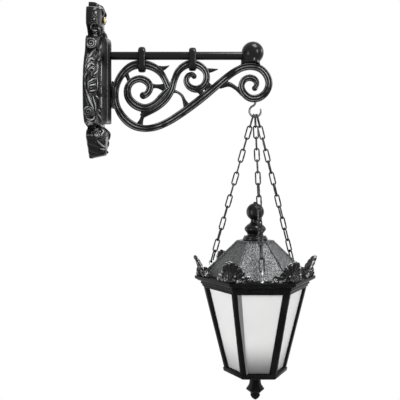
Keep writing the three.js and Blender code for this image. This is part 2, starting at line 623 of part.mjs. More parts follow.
/**
 * A four-sided plate on face k between two levels under its surface. Each level gives how deep it lies and how far
 * the edges stand in from the corners at the top and at the foot.
 */
function facePlate(k, topZ, footZ, near, far) {
  const { matrix, slope } = facePlacing(k, 0);
  const positions = [far, near].flatMap(([deep, top, foot]) =>
    [[topZ, 1, top], [topZ, -1, top], [footZ, -1, foot], [footZ, 1, foot]].flatMap(([z, side, margin]) =>
      [side * (cageRadius(z) / 2 - margin), (z - FRAME_TOP.z) / Math.cos(slope), -deep]));
  return skin(positions, 4, 2, false).applyMatrix4(matrix);
}

function bodyFrame() {
  const inner = FRAME_FOOT.r - FRAME_WALL;
  const profile = [[135, -537.8], [135, FRAME_TOP.z], [FRAME_TOP.r, FRAME_TOP.z], [FRAME_FOOT.r, FRAME_FOOT.z],
    [86.5, -775.5], [86.5, -783], [83.5, BASE_BOTTOM], [64, BASE_BOTTOM], [64, -781], [inner, -781],
    [inner, FRAME_FOOT.z],
    [FRAME_TOP.r - FRAME_WALL, FRAME_TOP.z], [123, -552], [123, -537.8]];
  const wall = FRAME_WALL * COS30;
  const level = (depth) => [depth, ...[POST.top, POST.foot].map((inside) =>
    THREE.MathUtils.lerp(POST.outside, inside, depth / wall))];
  const cuts = [];
  for (let k = 0; k < 6; k += 1) {
    cuts.push(solid(facePlate(k, WINDOW_TOP, FRAME_FOOT.z + 1, level(-3), level(wall + 3))));
  }
  for (const side of [-1, 1]) cuts.push(screwHole(side * BRIDGE.screw));
  for (let k = 0; k < 3; k += 1) {
    cuts.push(lanternHole(FRAME_SCREWS, -549, -530, k));
    cuts.push(lanternHole(BASE_SCREWS, -795, -775, k));
  }
  return shell(cut(solid(turned(profile, LANTERN_X, 6)), ...cuts));
}

const frameScrew = (k) => aroundLantern(
  screw([LANTERN_X + FRAME_SCREWS.circle, 0, -548], [LANTERN_X + FRAME_SCREWS.circle, 0, CORNICE_TOP + GAP],
  2.5, 3.6, 2.4), 120 * k);

/** Opal pane on face k, behind the cage. */
function glassPane(k) {
  const front = FRAME_WALL * COS30 * Math.cos(facePlacing(k, 0).slope) + GAP;
  return facePlate(k, WINDOW_TOP + 0.4, FRAME_FOOT.z + 1.5, [front, 7.2, 7.2], [front + GLASS_THICKNESS, 7.2, 7.2]);
}

/** Folded ring that holds the tops of the panes back against the cage. */
const glassRetainer = () => turned([[122.6, -538.2], [122.6, -553], [122.1, -574], [120.3, -574], [120.8, -553],
  [120.8, -540], [116.5, -540], [116.5, -538.2]], LANTERN_X, 6);

function basePlate() {
  const plate = solid(turned([[5.2, -780.7], [76, -780.7], [76, -776.9], [5.2, -776.9]], LANTERN_X, 6));
  const holes = Array.from({ length: 3 }, (_, k) => lanternHole(BASE_SCREWS, -795, -770, k));
  return shell(cut(plate, ...holes));
}

const baseScrew = (k) => aroundLantern(
  screw([LANTERN_X + BASE_SCREWS.circle, 0, -785.5], [LANTERN_X + BASE_SCREWS.circle, 0, -776.6], 2, 3.6, 2.2),
  120 * k);

/** Six-sided drop under the base, ending in a round bud, with its stud. */
function dropFinial() {
  const stem = solid(turned([[0, -781], [19, -781], [19, -785], [15.5, -791], [15, -811], [17.5, -822], [25, -833],
    [12, -844], [0, -844]], LANTERN_X, 6));
  const bud = solid(turned([[0, -842], [11, -842], [13, -846], [12.6, -850], [8.5, -857], [3, -861.6], [0, -862.6]],
    LANTERN_X, 16));
  const stud = solid(rod([LANTERN_X, 0, -790], [LANTERN_X, 0, -768], 4, 10));
  return shell(join(stem, bud, stud));
}

const dropNut = () => shell(cut(solid(hexagon(LANTERN_X, 0, -776.6, 8, 5.5)),
  solid(rod([LANTERN_X, 0, -790], [LANTERN_X, 0, -760], 4.3, 10))));

/** Ribbed shell that stands on a corner, bent round it, and rolls outward at the top. */
function palmette(k) {
  const across = 8;
  const high = 4;
  const at = (u, v, face) => {
    const s = u * PALMETTE.halfWidth * (1 - 0.3 * v);
    const crown = 1 - 0.45 * Math.abs(u) ** 3;
    const h = v * PALMETTE.height * crown;
    const curl = PALMETTE.lean * v ** 1.4;
    const bend = Math.abs(s) * (0.5 - 0.3 * v);
    const thickness = THREE.MathUtils.lerp(5.5, 3, v);
    const r = PALMETTE.r - bend + curl + face * thickness / 2;
    return [LANTERN_X + r, s, PALMETTE.z + h];
  };
  const positions = [];
  for (let j = 0; j <= high; j += 1) {
    for (let i = 0; i <= across; i += 1) positions.push(...at(2 * i / across - 1, j / high, 1));
    for (let i = across; i >= 0; i -= 1) positions.push(...at(2 * i / across - 1, j / high, -1));
  }
  const fan = solid(ribbonSkin(positions, across + 1, high + 1));
  const rolls = PALMETTE_ROLLS.flatMap(([reach, radius]) => [-1, 1].map((side) => {
    const ends = ROLL_DEPTH.map((inset) => [LANTERN_X + CORNICE_R - reach / 2 - inset * COS30,
      side * (reach * COS30 - inset / 2), PALMETTE.z + radius]);
    return solid(rod(...ends, radius, 8));
  }));
  const foot = solid(block([LANTERN_X + PALMETTE.r - 8, -11, PALMETTE.z],
      [LANTERN_X + PALMETTE.r + 7, 11, PALMETTE.z + 9]));
  const peg = solid(rod([LANTERN_X + PALMETTE.r, 0, -533.5], [LANTERN_X + PALMETTE.r, 0, PALMETTE.z + 2], 2.5, 6));
  const below = solid(block([LANTERN_X, -80, PALMETTE.z - 30], [LANTERN_X + 200, -3, PALMETTE.z]));
  const beyond = solid(block([LANTERN_X, 3, PALMETTE.z - 30], [LANTERN_X + 200, 80, PALMETTE.z]));
  return aroundLantern(shell(cut(join(fan, foot, peg, ...rolls), below, beyond)), 60 * k);
}

/** Closed skin of a curved plate from rows that run along its front and back along its rear. */
function ribbonSkin(positions, width, rows) {
  const ring = width * 2;
  const body = skin(positions, ring, rows, false);
  const index = Array.from(body.index.array).slice(0, (rows - 1) * ring * 6);
  const cap = (row, flip) => {
    for (let i = 0; i < width - 1; i += 1) {
      const a = row * ring + i;
      const b = row * ring + i + 1;
      const c = row * ring + ring - 2 - i;
      const d = row * ring + ring - 1 - i;
      if (flip) index.push(a, c, b, a, d, c);
      else index.push(a, b, c, a, c, d);
    }
  };
  cap(0, true);
  cap(rows - 1, false);
  body.setIndex(index);
  return body;
}

// Roof and finial

function roof() {
  const slopeFoot = [ROOF_FOOT.r, CORNICE_TOP + GAP];
  const profile = [slopeFoot, [ROOF_FOOT.r, ROOF_FOOT.z], [ROOF_TOP.r, ROOF_TOP.z], [7, ROOF_TOP.z],
      [7, ROOF_TOP.z - 3.2],
    [ROOF_TOP.r - ROOF_WALL + 3, ROOF_TOP.z - 3.2], [ROOF_FOOT.r - ROOF_WALL, ROOF_FOOT.z],
    [ROOF_FOOT.r - ROOF_WALL, CORNICE_TOP + GAP]];
  const ribs = Array.from({ length: 6 }, (_, k) => solid(aroundLantern(
    rod([LANTERN_X + ROOF_FOOT.r - 1, 0, ROOF_FOOT.z + 1], [LANTERN_X + ROOF_TOP.r, 0, ROOF_TOP.z - 0.5], 3, 6),
    60 * k)));
  const below = solid(block([LANTERN_X - 200, -200, -560], [LANTERN_X + 200, 200, CORNICE_TOP + GAP]));
  const above = solid(block([LANTERN_X - 200, -200, ROOF_TOP.z], [LANTERN_X + 200, 200, ROOF_TOP.z + 20]));
  return shell(cut(join(solid(turned(profile, LANTERN_X, 6)), ...ribs), below, above));
}

function finial() {
  const ball = { z: -355.9, r: 23.8 };
  const profile = [[5.4, -432], [33.2, -432], [33.2, -425], [30.6, -423.6], [30.6, -420], [21, -418.6], [21, -415.5],
    [26, -408.5], [28.9, -402.5], [28.4, -398.5], [23.5, -392], [17, -386.8], [12.4, -383], [12.2, -380]];
  for (let a = -58; a <= 76; a += 22.3) {
    profile.push([ball.r * Math.cos(a * RAD), ball.z + ball.r * Math.sin(a * RAD)]);
  }
  profile.push([4.2, -332.4], [4.2, -338.6], [2.8, -338.6], [2.8, -394], [5.4, -394]);
  return turned(profile, LANTERN_X, 16);
}

const cordGland = () => turned([[2.8, -338.2], [3.9, -338.2], [3.9, -331.8], [5, -331.8], [5, -330.6], [3.8, -329],
  [2.8, -329]], LANTERN_X, 14);

// Lamp

const lampRod = () => turned([[3, -576], [ROD_RADIUS, -576], [ROD_RADIUS, -397], [3, -397]], LANTERN_X, 12);

function lampBridge() {
  const { z, thickness, halfLength, halfWidth } = BRIDGE;
  const strap = solid(block([LANTERN_X - halfWidth, -halfLength, z],
      [LANTERN_X + halfWidth, halfLength, z + thickness]));
  const holes = [solid(rod([LANTERN_X, 0, z - 5], [LANTERN_X, 0, z + 10], ROD_RADIUS + 0.4, 12))];
  for (const side of [-1, 1]) holes.push(screwHole(side * BRIDGE.screw));
  return shell(cut(strap, ...holes));
}

const bridgeScrew = (side) => screw([LANTERN_X, side * BRIDGE.screw, -548],
  [LANTERN_X, side * BRIDGE.screw, BRIDGE.z + BRIDGE.thickness + GAP], 2.5, 3.2, 2.3);

/** A nut on the threaded rod, standing on z. */
const rodNut = (z) => shell(cut(solid(hexagon(LANTERN_X, 0, z, 9.5, 5)),
  solid(rod([LANTERN_X, 0, z - 10], [LANTERN_X, 0, z + 20], ROD_RADIUS + 0.4, 12))));

const lampholderCap = () => turned([[5.4, -566], [10, -566], [12, -571], [20, -583], [20, -592], [17.6, -592],
    [17.6, -584.5],
  [10, -577.5], [5.4, -577.5]], LANTERN_X, 16);

const lampholderBody = () => turned([[0, -592.4], [19.6, -592.4], [19.6, -640], [14.4, -640], [14.4, -602],
    [0, -602]], LANTERN_X, 16);

const bulbCap = () => turned([[0, -604], [6, -604], [13.2, -609], [13.2, -629.7], [0, -629.7]], LANTERN_X, 16);

function bulbEnvelope() {
  const profile = [[0, -630], [12, -630], [13.4, -641]];
  for (let a = 52; a >= -75; a -= 18) profile.push([30 * Math.cos(a * RAD), -684 + 30 * Math.sin(a * RAD)]);
  profile.push([0, -714]);
  return turned(profile, LANTERN_X, 16);
}

// Assembly

const lantern = new THREE.Group();

/** Adds one named piece to a group. */
function piece(parent, name, geometry, material) {
  const whole = closed(geometry);
  whole.computeVertexNormals();
  const mesh = new THREE.Mesh(whole, material());
  mesh.name = name;
  parent.add(mesh);
}

const bracket = new THREE.Group();
piece(bracket, 'wall_plate', wallPlate(), blackPaint);
piece(bracket, 'gilt_rosette', rosette(), gilt);
piece(bracket, 'spine_bar', spineBar(), blackPaint);
SPINE_SCREW_HEIGHTS.forEach((z, i) => piece(bracket, `spine_screw_${i + 1}`, backScrew(SPINE_SCREW, z), zincSteel));
FOOT_SCREW_HEIGHTS.forEach((z, i) => piece(bracket, `foot_screw_${i + 1}`, backScrew(FOOT_SCREW, z), zincSteel));
piece(bracket, 'bracket_bar', bracketBar(), blackPaint);
piece(bracket, 'bar_ball', barBall(), blackPaint);
piece(bracket, 'scroll_bracket', scrollBracket(), blackPaint);
for (const [name, size] of Object.entries(COLLARS)) piece(bracket, name, collar(size), blackPaint);
lantern.add(bracket);

const hanger = new THREE.Group();
piece(hanger, 'hook', hook(), zincSteel);
for (const [name, azimuth] of Object.entries(CHAIN_AZIMUTHS)) {
  piece(hanger, name, chain(azimuth), darkSteel);
  piece(hanger, name.replace('chain', 'eye_bolt'), eyeBolt(azimuth), zincSteel);
}
lantern.add(hanger);

const body = new THREE.Group();
piece(body, 'cornice', cornice(), blackPaint);
piece(body, 'body_frame', bodyFrame(), blackPaint);
for (let k = 0; k < 6; k += 1) {
  piece(body, `palmette_${k + 1}`, palmette(k), blackPaint);
  piece(body, `glass_pane_${k + 1}`, glassPane(k), opalGlass);
}
for (let k = 0; k < 3; k += 1) {
  piece(body, `frame_screw_${k + 1}`, frameScrew(k), zincSteel);
  piece(body, `base_screw_${k + 1}`, baseScrew(k), zincSteel);
}
piece(body, 'glass_retainer', glassRetainer(), zincSteel);
piece(body, 'base_plate', basePlate(), blackPaint);
piece(body, 'drop_finial', dropFinial(), blackPaint);
piece(body, 'drop_nut', dropNut(), zincSteel);
lantern.add(body);

const top = new THREE.Group();
piece(top, 'roof', roof(), hammeredPaint);
piece(top, 'finial', finial(), blackPaint);
piece(top, 'cord_gland', cordGland(), blackPaint);
lantern.add(top);

const lamp = new THREE.Group();
piece(lamp, 'lamp_rod', lampRod(), zincSteel);
piece(lamp, 'lamp_bridge', lampBridge(), zincSteel);
piece(lamp, 'bridge_screw_1', bridgeScrew(-1), zincSteel);
piece(lamp, 'bridge_screw_2', bridgeScrew(1), zincSteel);
piece(lamp, 'rod_nut_upper', rodNut(BRIDGE.z + BRIDGE.thickness + GAP), brass);
piece(lamp, 'rod_nut_lower', rodNut(BRIDGE.z - GAP - 5), brass);
piece(lamp, 'lampholder_cap', lampholderCap(), ceramic);
piece(lamp, 'lampholder_body', lampholderBody(), ceramic);
piece(lamp, 'bulb_cap', bulbCap(), brass);
piece(lamp, 'bulb_envelope', bulbEnvelope(), bulbGlass);
lantern.add(lamp);

export default lantern;
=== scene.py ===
"""Looks of a wall lantern: a six-sided lantern on three chains, hung from a cast scroll bracket.

Sizes are in millimetres and become metres when a mesh is built. X runs away from the wall, Y along
the wall and Z up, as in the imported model, whose bodies carry every piece made here.
"""

import json
import logging
import math
from dataclasses import dataclass
from enum import Enum

import bmesh
import bpy
import numpy as np
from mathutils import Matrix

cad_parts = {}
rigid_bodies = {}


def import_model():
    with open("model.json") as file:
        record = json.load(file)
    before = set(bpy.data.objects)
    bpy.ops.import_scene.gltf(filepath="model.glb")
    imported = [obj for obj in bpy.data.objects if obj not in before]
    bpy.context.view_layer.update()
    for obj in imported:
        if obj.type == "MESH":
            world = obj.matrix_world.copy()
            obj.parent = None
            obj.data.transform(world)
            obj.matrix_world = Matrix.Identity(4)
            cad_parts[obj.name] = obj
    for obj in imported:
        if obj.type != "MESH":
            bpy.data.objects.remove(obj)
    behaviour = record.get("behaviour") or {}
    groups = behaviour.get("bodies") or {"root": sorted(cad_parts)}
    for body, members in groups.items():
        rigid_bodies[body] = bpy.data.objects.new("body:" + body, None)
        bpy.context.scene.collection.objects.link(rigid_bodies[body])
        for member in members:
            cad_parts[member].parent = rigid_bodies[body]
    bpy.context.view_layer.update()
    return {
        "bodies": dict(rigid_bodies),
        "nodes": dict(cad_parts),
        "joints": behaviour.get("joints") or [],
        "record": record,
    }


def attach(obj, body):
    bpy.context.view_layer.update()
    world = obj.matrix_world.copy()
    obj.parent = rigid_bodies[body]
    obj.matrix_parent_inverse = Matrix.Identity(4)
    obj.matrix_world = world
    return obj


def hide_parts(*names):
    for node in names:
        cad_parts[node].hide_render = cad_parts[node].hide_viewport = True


Points = np.ndarray
Pair = tuple[float, float]
Place = tuple[float, float, float]
Colour = tuple[float, float, float]
Outline = tuple[Pair, ...]
Band = tuple[Place, ...]
Piece = bpy.types.Object
Finish = bpy.types.Material

MM = 0.001
LANTERN_X = 446.0
AXIS: Place = (LANTERN_X, 0.0, 0.0)
SIX = 6
SIXTH = 60.0
FLAT = math.cos(math.pi / SIX)
ALONG_X: Place = (1.0, 0.0, 0.0)
SPINE_SCREWS = (92, 25, -100)
FOOT_SCREWS = (-22, -62)
SCREW_HOLE = 4.4
SCREW_REACH = 60.0


class Body(Enum):
    """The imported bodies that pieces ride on."""

    BRACKET = "bracket"
    HOOK = "hook"
    LANTERN = "lantern"
    ROOF = "roof"
    FINIAL = "finial"


class Slot(Enum):
    """The record's material slots for the pieces made here."""

    IRON = "bracket_iron"
    PAINT = "lantern_paint"
    HAMMERED = "hammered_paint"
    GILT = "gilt"
    CHAIN = "chain_steel"
    HOOK = "hook_steel"
    ZINC = "zinc_steel"


class Cut(Enum):
    """What one form does to another."""

    ADD = "UNION"
    TAKE = "DIFFERENCE"


def unit(vectors: Points) -> Points:
    """Vectors of length one along the last axis."""
    return vectors / np.maximum(np.linalg.norm(vectors, axis=-1, keepdims=True), 1e-9)


def ease(low: float, high: float, value: Points) -> Points:
    """A smooth step from 0 at low to 1 at high."""
    share = np.clip((value - low) / (high - low), 0.0, 1.0)
    return share * share * (3.0 - 2.0 * share)


def curve_through(points: object, step: float) -> Points:
    """Runs a smooth curve through points.

    Args:
        points: rows of two coordinates, with any width in a third column.
        step: rough distance between the curve's points.

    Returns:
        Rows like the given ones, close together along the curve.
    """
    knots = np.asarray(points, float)
    knots = np.vstack([2 * knots[0] - knots[1], knots, 2 * knots[-1] - knots[-2]])
    gaps = np.sqrt(np.linalg.norm(np.diff(knots[:, :2], axis=0), axis=1))
    runs = []
    for i in range(1, len(knots) - 2):
        a, b, c, d = knots[i - 1 : i + 3]
        before, here, after = gaps[i - 1 : i + 2]
        leave = ((b - a) / before - (c - a) / (before + here) + (c - b) / here) * here
        arrive = ((c - b) / here - (d - b) / (here + after) + (d - c) / after) * here
        count = max(2, round(here * here / step))
        t = np.arange(count)[:, None] / count
        square = 3 * (c - b) - 2 * leave - arrive
        cube = 2 * (b - c) + leave + arrive
        runs.append(b + leave * t + square * t**2 + cube * t**3)
    return np.vstack(runs + [knots[-2:-1]])


def rounded(points: object, radius: float, steps: int = 3, loop: bool = False) -> Points:
    """Rounds the corners of an outline.

    Args:
        points: the outline's corners.
        radius: how far from a corner its rounding starts.
        steps: straight pieces in each rounding.
        loop: whether the outline closes on itself.

    Returns:
        The finer outline.
    """
    corners = np.asarray(points, float)
    made = []
    for i, here in enumerate(corners):
        if not loop and i in (0, len(corners) - 1):
            made.append(here)
            continue
        back = corners[i - 1] - here
        on = corners[(i + 1) % len(corners)] - here
        reach = min(radius, 0.45 * float(np.linalg.norm(back)), 0.45 * float(np.linalg.norm(on)))
        start = here + unit(back) * reach
        end = here + unit(on) * reach
        for t in np.linspace(0.0, 1.0, steps + 1):
            made.append((1 - t) ** 2 * start + 2 * t * (1 - t) * here + t * t * end)
    return np.array(made)


def level(points: Points, z: float) -> Points:
    """Points of X and Y laid out at one height."""
    return np.column_stack([points, np.full(len(points), z)])


def arc(centre: Pair, radius: float, first: float, last: float, steps: int) -> list[Pair]:
    """Points on a circle between two angles in degrees."""
    angles = np.radians(np.linspace(first, last, steps + 1))
    return [(centre[0] + radius * math.cos(a), centre[1] + radius * math.sin(a)) for a in angles]


def stand(name: str, data: bpy.types.ID) -> Piece:
    """A new object in the scene."""
    made = bpy.data.objects.new(name, data)
    bpy.context.scene.collection.objects.link(made)
    return made


@dataclass
class Form:
    """A closed skin in the making: its points, and its faces as runs of point numbers."""

    points: Points
    faces: list[tuple[int, ...]]

    @classmethod
    def skin(cls, rings: Points, loop: bool = False) -> "Form":
        """Joins rings of points.

        Args:
            rings: an array of rings, points and coordinates.
            loop: whether the last ring joins the first; otherwise both ends are capped.

        Returns:
            The closed form.
        """
        count, size = rings.shape[:2]
        index = np.arange(count * size).reshape(count, size)
        turned = np.roll(index, -1, axis=1)
        rows = count if loop else count - 1
        onward = np.roll(index, -1, axis=0)[:rows]
        onward_turned = np.roll(turned, -1, axis=0)[:rows]
        quads = np.stack([index[:rows], turned[:rows], onward_turned, onward], axis=-1).reshape(-1, 4)
        faces = [tuple(quad) for quad in quads.tolist()]
        if not loop:
            faces += [tuple(index[0][::-1].tolist()), tuple(index[-1].tolist())]
        return cls(rings.reshape(-1, 3).astype(float), faces)

    @classmethod
    def slab(cls, front: Points, back: Points) -> "Form":
        """A curved plate between two grids of points of the same size."""
        rows, width = front.shape[:2]
        ahead = np.arange(rows * width).reshape(rows, width)
        behind = ahead + rows * width
        faces = []
        for grid, flip in ((ahead, False), (behind, True)):
            corners = [grid[:-1, :-1], grid[:-1, 1:], grid[1:, 1:], grid[1:, :-1]]
            quads = np.stack(corners, axis=-1).reshape(-1, 4)
            faces += [tuple(quad[::-1]) if flip else tuple(quad) for quad in quads.tolist()]
        rim = np.concatenate([ahead[0, :-1], ahead[:-1, -1], ahead[-1, :0:-1], ahead[:0:-1, 0]])
        for here, after in zip(rim.tolist(), np.roll(rim, -1).tolist()):
            faces.append((after, here, here + rows * width, after + rows * width))
        return cls(np.concatenate([front.reshape(-1, 3), back.reshape(-1, 3)]).astype(float), faces)

    @classmethod
    def turned(
        cls,
        profile: object,
        sides: int = 48,
        origin: Place = (0.0, 0.0, 0.0),
        axis: Place = (0.0, 0.0, 1.0),
        loop: bool = False,
    ) -> "Form":
        """Turns a profile about an axis.

        Args:
            profile: [radius, distance along the axis] rows.
            sides: flats round the axis; six give corners on +X about a vertical axis.
            origin: where the axis starts.
            axis: the axis's direction.
            loop: whether the profile closes on itself.

        Returns:
            The turned form.
        """
        line = np.asarray(profile, float)
        along = unit(np.asarray(axis, float))
        side = np.array([1.0, 0.0, 0.0]) if abs(along[0]) < 0.9 else np.array([0.0, 1.0, 0.0])
        first = unit(side - along * float(side @ along))
        second = np.cross(along, first)
        angles = 2 * math.pi * np.arange(sides) / sides
        spokes = np.cos(angles)[:, None] * first + np.sin(angles)[:, None] * second
        radius, distance = line[:, 0][:, None, None], line[:, 1][:, None, None]
        return cls.skin(np.asarray(origin, float) + distance * along + radius * spokes, loop)

    @classmethod
    def six_sided(cls, profile: object, loop: bool = True) -> "Form":
        """A profile turned into a six-sided form about the lantern's axis."""
        return cls.turned(profile, SIX, AXIS, loop=loop)

    @classmethod
    def wire(
        cls, path: Points, radius: object, normal: object, sides: int, loop: bool = False
    ) -> "Form":
        """A round wire along a flat path.

        Args:
            path: the wire's middle line.
            radius: one radius, or one for each point of the path.
            normal: the direction square to the path's plane.
            sides: flats round the wire.
            loop: whether the wire closes on itself.

        Returns:
            The wire.
        """
        ahead = np.gradient(path, axis=0)
        if loop:
            ahead = np.roll(path, -1, axis=0) - np.roll(path, 1, axis=0)
        up = unit(np.asarray(normal, float))
        out = unit(np.cross(ahead, up))
        thick = np.broadcast_to(np.asarray(radius, float), (len(path),))[:, None, None]
        angles = 2 * math.pi * np.arange(sides) / sides
        ring = np.cos(angles)[:, None] * out[:, None, :] + np.sin(angles)[:, None] * up
        return cls.skin(path[:, None, :] + thick * ring, loop)

    @classmethod
    def rod(cls, start: Place, end: Place, radius: float, sides: int = 32, edge: float = 0.0) -> "Form":
        """A round bar between two points, its edges rounded by edge."""
        length = math.dist(start, end)
        profile = [(0.0, 0.0), (radius, 0.0), (radius, length), (0.0, length)]
        axis = tuple(float(b - a) for a, b in zip(start, end))
        return cls.turned(rounded(profile, edge) if edge else profile, sides, start, axis)

    @classmethod
    def ball(cls, centre: Place, radii: Place, sides: int = 28) -> "Form":
        """A ball or egg with its own radius along each axis."""
        made = cls.turned(arc((0.0, 0.0), 1.0, -90.0, 90.0, sides // 2), sides)
        return cls(made.points * np.asarray(radii) + np.asarray(centre), made.faces)

    @classmethod
    def block(cls, low: Place, high: Place) -> "Form":
        """A box between two corners, used as a cutter."""
        (x0, y0, z0), (x1, y1, z1) = low, high
        ring = np.array([(x0, y0), (x1, y0), (x1, y1), (x0, y1)])
        rings = np.array([[(x, y, z) for x, y in ring] for z in (z0, z1)])
        return cls.skin(rings)

    def __add__(self, other: "Form") -> "Form":
        """Both forms in one, not yet welded."""
        shift = len(self.points)
        faces = [tuple(i + shift for i in face) for face in other.faces]
        return Form(np.vstack([self.points, other.points]), self.faces + faces)

    def moved(self, x: float, y: float, z: float) -> "Form":
        """The form at another place."""
        return Form(self.points + np.array([x, y, z]), self.faces)

    def round_lantern(self, sixths: int) -> "Form":
        """The form turned about the lantern's axis by a number of its sides."""
        a = math.radians(SIXTH * sixths)
        x, y, z = self.points[:, 0] - LANTERN_X, self.points[:, 1], self.points[:, 2]
        spun_x = LANTERN_X + x * math.cos(a) - y * math.sin(a)
        spun_y = x * math.sin(a) + y * math.cos(a)
        return Form(np.column_stack([spun_x, spun_y, z]), self.faces)

    def mirrored(self) -> "Form":
        """The form's reflection across the plane Y = 0."""
        return Form(self.points * np.array([1.0, -1.0, 1.0]), [face[::-1] for face in self.faces])

    def build(self, name: str, crease: float = 32.0) -> Piece:
        """Makes the mesh object.

        Args:
            name: the object's name.
            crease: the angle in degrees above which an edge stays sharp.

        Returns:
            The object, in the scene.
        """
        mesh = bpy.data.meshes.new(name)
        mesh.from_pydata((self.points * MM).tolist(), [], self.faces)
        skin = bmesh.new()
        skin.from_mesh(mesh)
        bmesh.ops.remove_doubles(skin, verts=skin.verts[:], dist=2e-6)
        bmesh.ops.dissolve_degenerate(skin, edges=skin.edges[:], dist=1e-7)
        bmesh.ops.recalc_face_normals(skin, faces=skin.faces[:])
        skin.to_mesh(mesh)
        skin.free()
        made = stand(name, mesh)
        shade(made, crease)
        return made


def total(forms: list[Form]) -> Form:
    """Several forms in one, not yet welded."""
    shifts = np.cumsum([0] + [len(form.points) for form in forms])
    faces = []
    for form, shift in zip(forms, shifts):
        faces += [tuple(i + int(shift) for i in face) for face in form.faces]
    return Form(np.vstack([form.points for form in forms]), faces)


def shade(made: Piece, crease: float) -> None:
    """Smooths a mesh's shading except across edges sharper than crease degrees."""
    made.data.polygons.foreach_set("use_smooth", [True] * len(made.data.polygons))
    made.data.set_sharp_from_angle(angle=math.radians(crease))
    made.data.update()


def settle(made: Piece, crease: float) -> Piece:
    """Applies a piece's modifiers to its mesh and shades it again."""
    graph = bpy.context.evaluated_depsgraph_get()
    shaped = bpy.data.meshes.new_from_object(made.evaluated_get(graph))
    old = made.data
    name = old.name
    made.modifiers.clear()
    made.data = shaped
    bpy.data.meshes.remove(old)
    shaped.name = name
    shade(made, crease)
    return made


def cast(made: Piece, grain: float, rubs: int) -> Piece:
    """Fuses overlapping forms into one casting.

    Args:
        made: the object that holds the forms.
        grain: the size of the new skin's faces in millimetres.
        rubs: how many times the skin is smoothed.

    Returns:
        The same object.
    """
    fuse = made.modifiers.new("fuse", "REMESH")
    fuse.mode = "VOXEL"
    fuse.voxel_size = grain * MM
    rub = made.modifiers.new("rub", "SMOOTH")
    rub.factor = 0.5
    rub.iterations = rubs
    return settle(made, 180.0)


def melt(made: Piece) -> Form:
    """Takes an object out of the scene and returns its mesh as a form."""
    mesh = made.data
    co = np.zeros(len(mesh.vertices) * 3)
    mesh.vertices.foreach_get("co", co)
    whole = Form(co.reshape(-1, 3) / MM, [tuple(face.vertices) for face in mesh.polygons])
    bpy.data.objects.remove(made)
    bpy.data.meshes.remove(mesh)
    return whole


def cast_form(form: Form, grain: float, rubs: int) -> Form:
    """Fuses overlapping forms and returns them as one."""
    return melt(cast(form.build("fused"), grain, rubs))


def work(made: Piece, tool: Form, cut: Cut, crease: float = 32.0) -> Piece:
    """Adds a closed form to a piece or takes it away."""
    shape = tool.build("tool")
    change = made.modifiers.new("change", "BOOLEAN")
    change.operation = cut.value
    change.solver = "MANIFOLD"
    change.object = shape
    settle(made, crease)
    mesh = shape.data
    bpy.data.objects.remove(shape)
    bpy.data.meshes.remove(mesh)
    return made


def drill(
    made: Piece, start: Place, end: Place, radius: float, sides: int, crease: float = 32.0
) -> None:
    """Cuts a round hole between two points."""
    work(made, Form.rod(start, end, radius, sides), Cut.TAKE, crease)


def sink(made: Piece, place: Place, head: Pair, depth: Pair) -> None:
    """Cuts a screw's hole along X with a well for its head.

    Args:
        made: the piece.
        place: the point on the screw's line from which depths are measured.
        head: the well's radius and the depth of its floor.
        depth: where the well and the hole start and where the hole ends.
    """
    radius, floor = head
    start, end = depth
    line = [(0, start), (radius, start), (radius, floor)]
    line += [(SCREW_HOLE, floor), (SCREW_HOLE, end), (0, end)]
    work(made, Form.turned(line, 24, place, ALONG_X), Cut.TAKE)


def break_edges(made: Piece, width: float, sharper: float) -> Piece:
    """Rounds a piece's edges that are sharper than an angle in degrees."""
    bevel = made.modifiers.new("edges", "BEVEL")
    bevel.width = width * MM
    bevel.segments = 2
    bevel.limit_method = "ANGLE"
    bevel.angle_limit = math.radians(sharper)
    bevel.miter_outer = "MITER_ARC"
    return settle(made, 40.0)


def mount(made: Piece, finish: Finish, body: Body, slot: Slot, *nodes: str) -> Piece:
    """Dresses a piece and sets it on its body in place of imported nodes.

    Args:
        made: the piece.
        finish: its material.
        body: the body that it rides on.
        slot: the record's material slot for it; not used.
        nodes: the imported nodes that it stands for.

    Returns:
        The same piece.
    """
    made.data.materials.clear()
    made.data.materials.append(finish)
    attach(made, body.value)
    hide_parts(*nodes)
    logging.info("%s: %d faces on %s", made.name, len(made.data.polygons), body.value)
    return made


def node_in(
    tree: bpy.types.NodeTree, kind: str, settings: dict, inputs: dict, output: object = 0
) -> object:
    """Adds one node to a tree.

    Args:
        tree: the tree.
        kind: the node's type without its prefix.
        settings: attributes that are set first.
        inputs: values or other nodes' sockets, by socket name or number.
        output: the socket that is returned.

    Returns:
        The output socket, or nothing where the node has none.
    """
    made = tree.nodes.new("ShaderNode" + kind)
    for key, value in settings.items():
        setattr(made, key, value)
    for key, value in inputs.items():
        if isinstance(value, bpy.types.NodeSocket):
            tree.links.new(value, made.inputs[key])
        else:
            made.inputs[key].default_value = value
    return made.outputs[output] if made.outputs else None


@dataclass(frozen=True)
class Wire:
    """A socket that reads like a number: arithmetic on it adds Math nodes."""

    shader: "Shader"
    socket: bpy.types.NodeSocket

    def _math(self, operation: str, first: object, second: object) -> "Wire":
        """One Math node on two values."""
        return self.shader.node("Math", {"operation": operation}, {0: first, 1: second})

    def __add__(self, other: object) -> "Wire":
        """Sum."""
        return self._math("ADD", self, other)

    def __mul__(self, other: object) -> "Wire":
        """Product."""
        return self._math("MULTIPLY", self, other)

    def __rsub__(self, other: object) -> "Wire":
        """Difference from a number on the left."""
        return self._math("SUBTRACT", other, self)

    __radd__ = __add__

    def between(self, low: float, high: float) -> "Wire":
        """A smooth step from 0 at low to 1 at high."""
        settings = {"interpolation_type": "SMOOTHSTEP"}
        return self.shader.node("MapRange", settings, {"Value": self, "From Min": low, "From Max": high})

    def blend(self, low: Colour, high: Colour) -> "Wire":
        """A colour from low where this is 0 to high where it is 1."""
        inputs = {0: self, 6: (*low, 1.0), 7: (*high, 1.0)}
        return self.shader.node("Mix", {"data_type": "RGBA"}, inputs, output=2)


